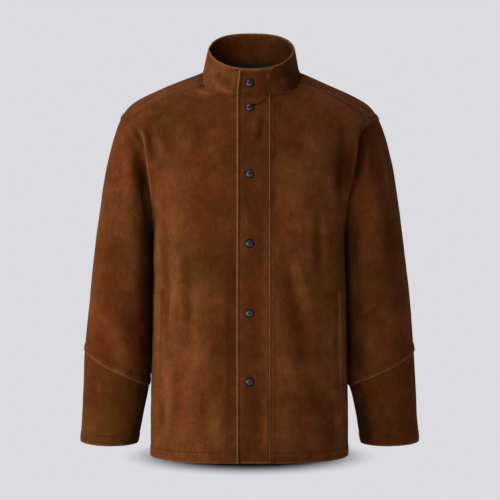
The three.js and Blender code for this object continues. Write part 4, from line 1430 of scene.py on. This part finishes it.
STUDIO = {"floor": -0.7462, "pale": (0.716, 0.708, 0.745), "shade": (0.08, 0.078, 0.08),
          "glow": (0.98, 0.98, 1.0), "glow_strength": 0.012}
# Soft round lights that face the jacket: their turn from the front and height in degrees, and their power.
LIGHTS = {"key": (-65, -10, 81), "fill": (-15, 0, 17), "side": (60, 20, 2), "rim": (125, 15, 6),
          "top": (-100, 70, 34), "back": (-165, 12, 26)}
LIGHT = {"aim": (0, 0, -0.35), "away": 2.2, "size": 1.2}


def make_floor():
    paint = Paint("pale_floor")
    below = paint.mapped(Location=(0, -0.07, 0), Scale=(4.65, 4.12, 1))
    far = paint.node("VectorMath", {"operation": "LENGTH"}, below, out="Value")
    fade = ((far - 0.6) / 0.6).clamp()
    # painted shadow: under the jacket the floor is a dark matte, fading out into the pale glow further off
    painted_shadow = paint.node("BsdfDiffuse", {}, STUDIO["shade"])
    lit = paint.node("Emission", {}, STUDIO["pale"], 1.0)
    place = (0, 0, STUDIO["floor"])
    bpy.ops.mesh.primitive_grid_add(x_subdivisions=2, y_subdivisions=2, size=40, location=place)
    floor = bpy.context.object
    floor.name = "floor"
    floor.data.materials.append(paint.finish("MixShader", fade * fade * (3 - 2 * fade), painted_shadow, lit))


def make_light(name, turn, height, power):
    data = bpy.data.lights.new(name, "AREA")
    data.shape, data.size, data.energy = "DISK", LIGHT["size"], power
    around, above = math.radians(turn), math.radians(height)
    away = Vector((math.sin(around) * math.cos(above), -math.cos(around) * math.cos(above), math.sin(above)))
    light = add_object(name, data)
    light.location = Vector(LIGHT["aim"]) + LIGHT["away"] * away
    light.rotation_euler = (-away).to_track_quat("-Z", "Y").to_euler()


def make_studio():
    """The floor, the lights, and a pale backdrop that hardly lights the jacket."""
    make_floor()
    world = bpy.data.worlds.new("studio")
    bpy.context.scene.world = world
    world.use_nodes = True
    tree = Tree(world.node_tree)
    seen = tree.node("LightPath", out="Is Camera Ray")
    lighting = tree.node("Background", {}, STUDIO["glow"], STUDIO["glow_strength"])
    shown = tree.node("Background", {}, STUDIO["pale"], 1.0)
    tree.node("OutputWorld", {}, tree.node("MixShader", {}, seen, lighting, shown))
    for name, row in LIGHTS.items():
        make_light(name, *row)
    bpy.context.scene.view_settings.view_transform = "Standard"


# ---------------------------------------------------------------- the jacket

back = make_back()
for make in (make_front, make_sleeve, make_forearm):
    for word in SIDES:
        make(word)
make_collar()
flap = make_flap()
for word in SIDES:
    make_welt(word)
make_lining(back)
make_stitches()
make_snaps(flap)
make_studio()
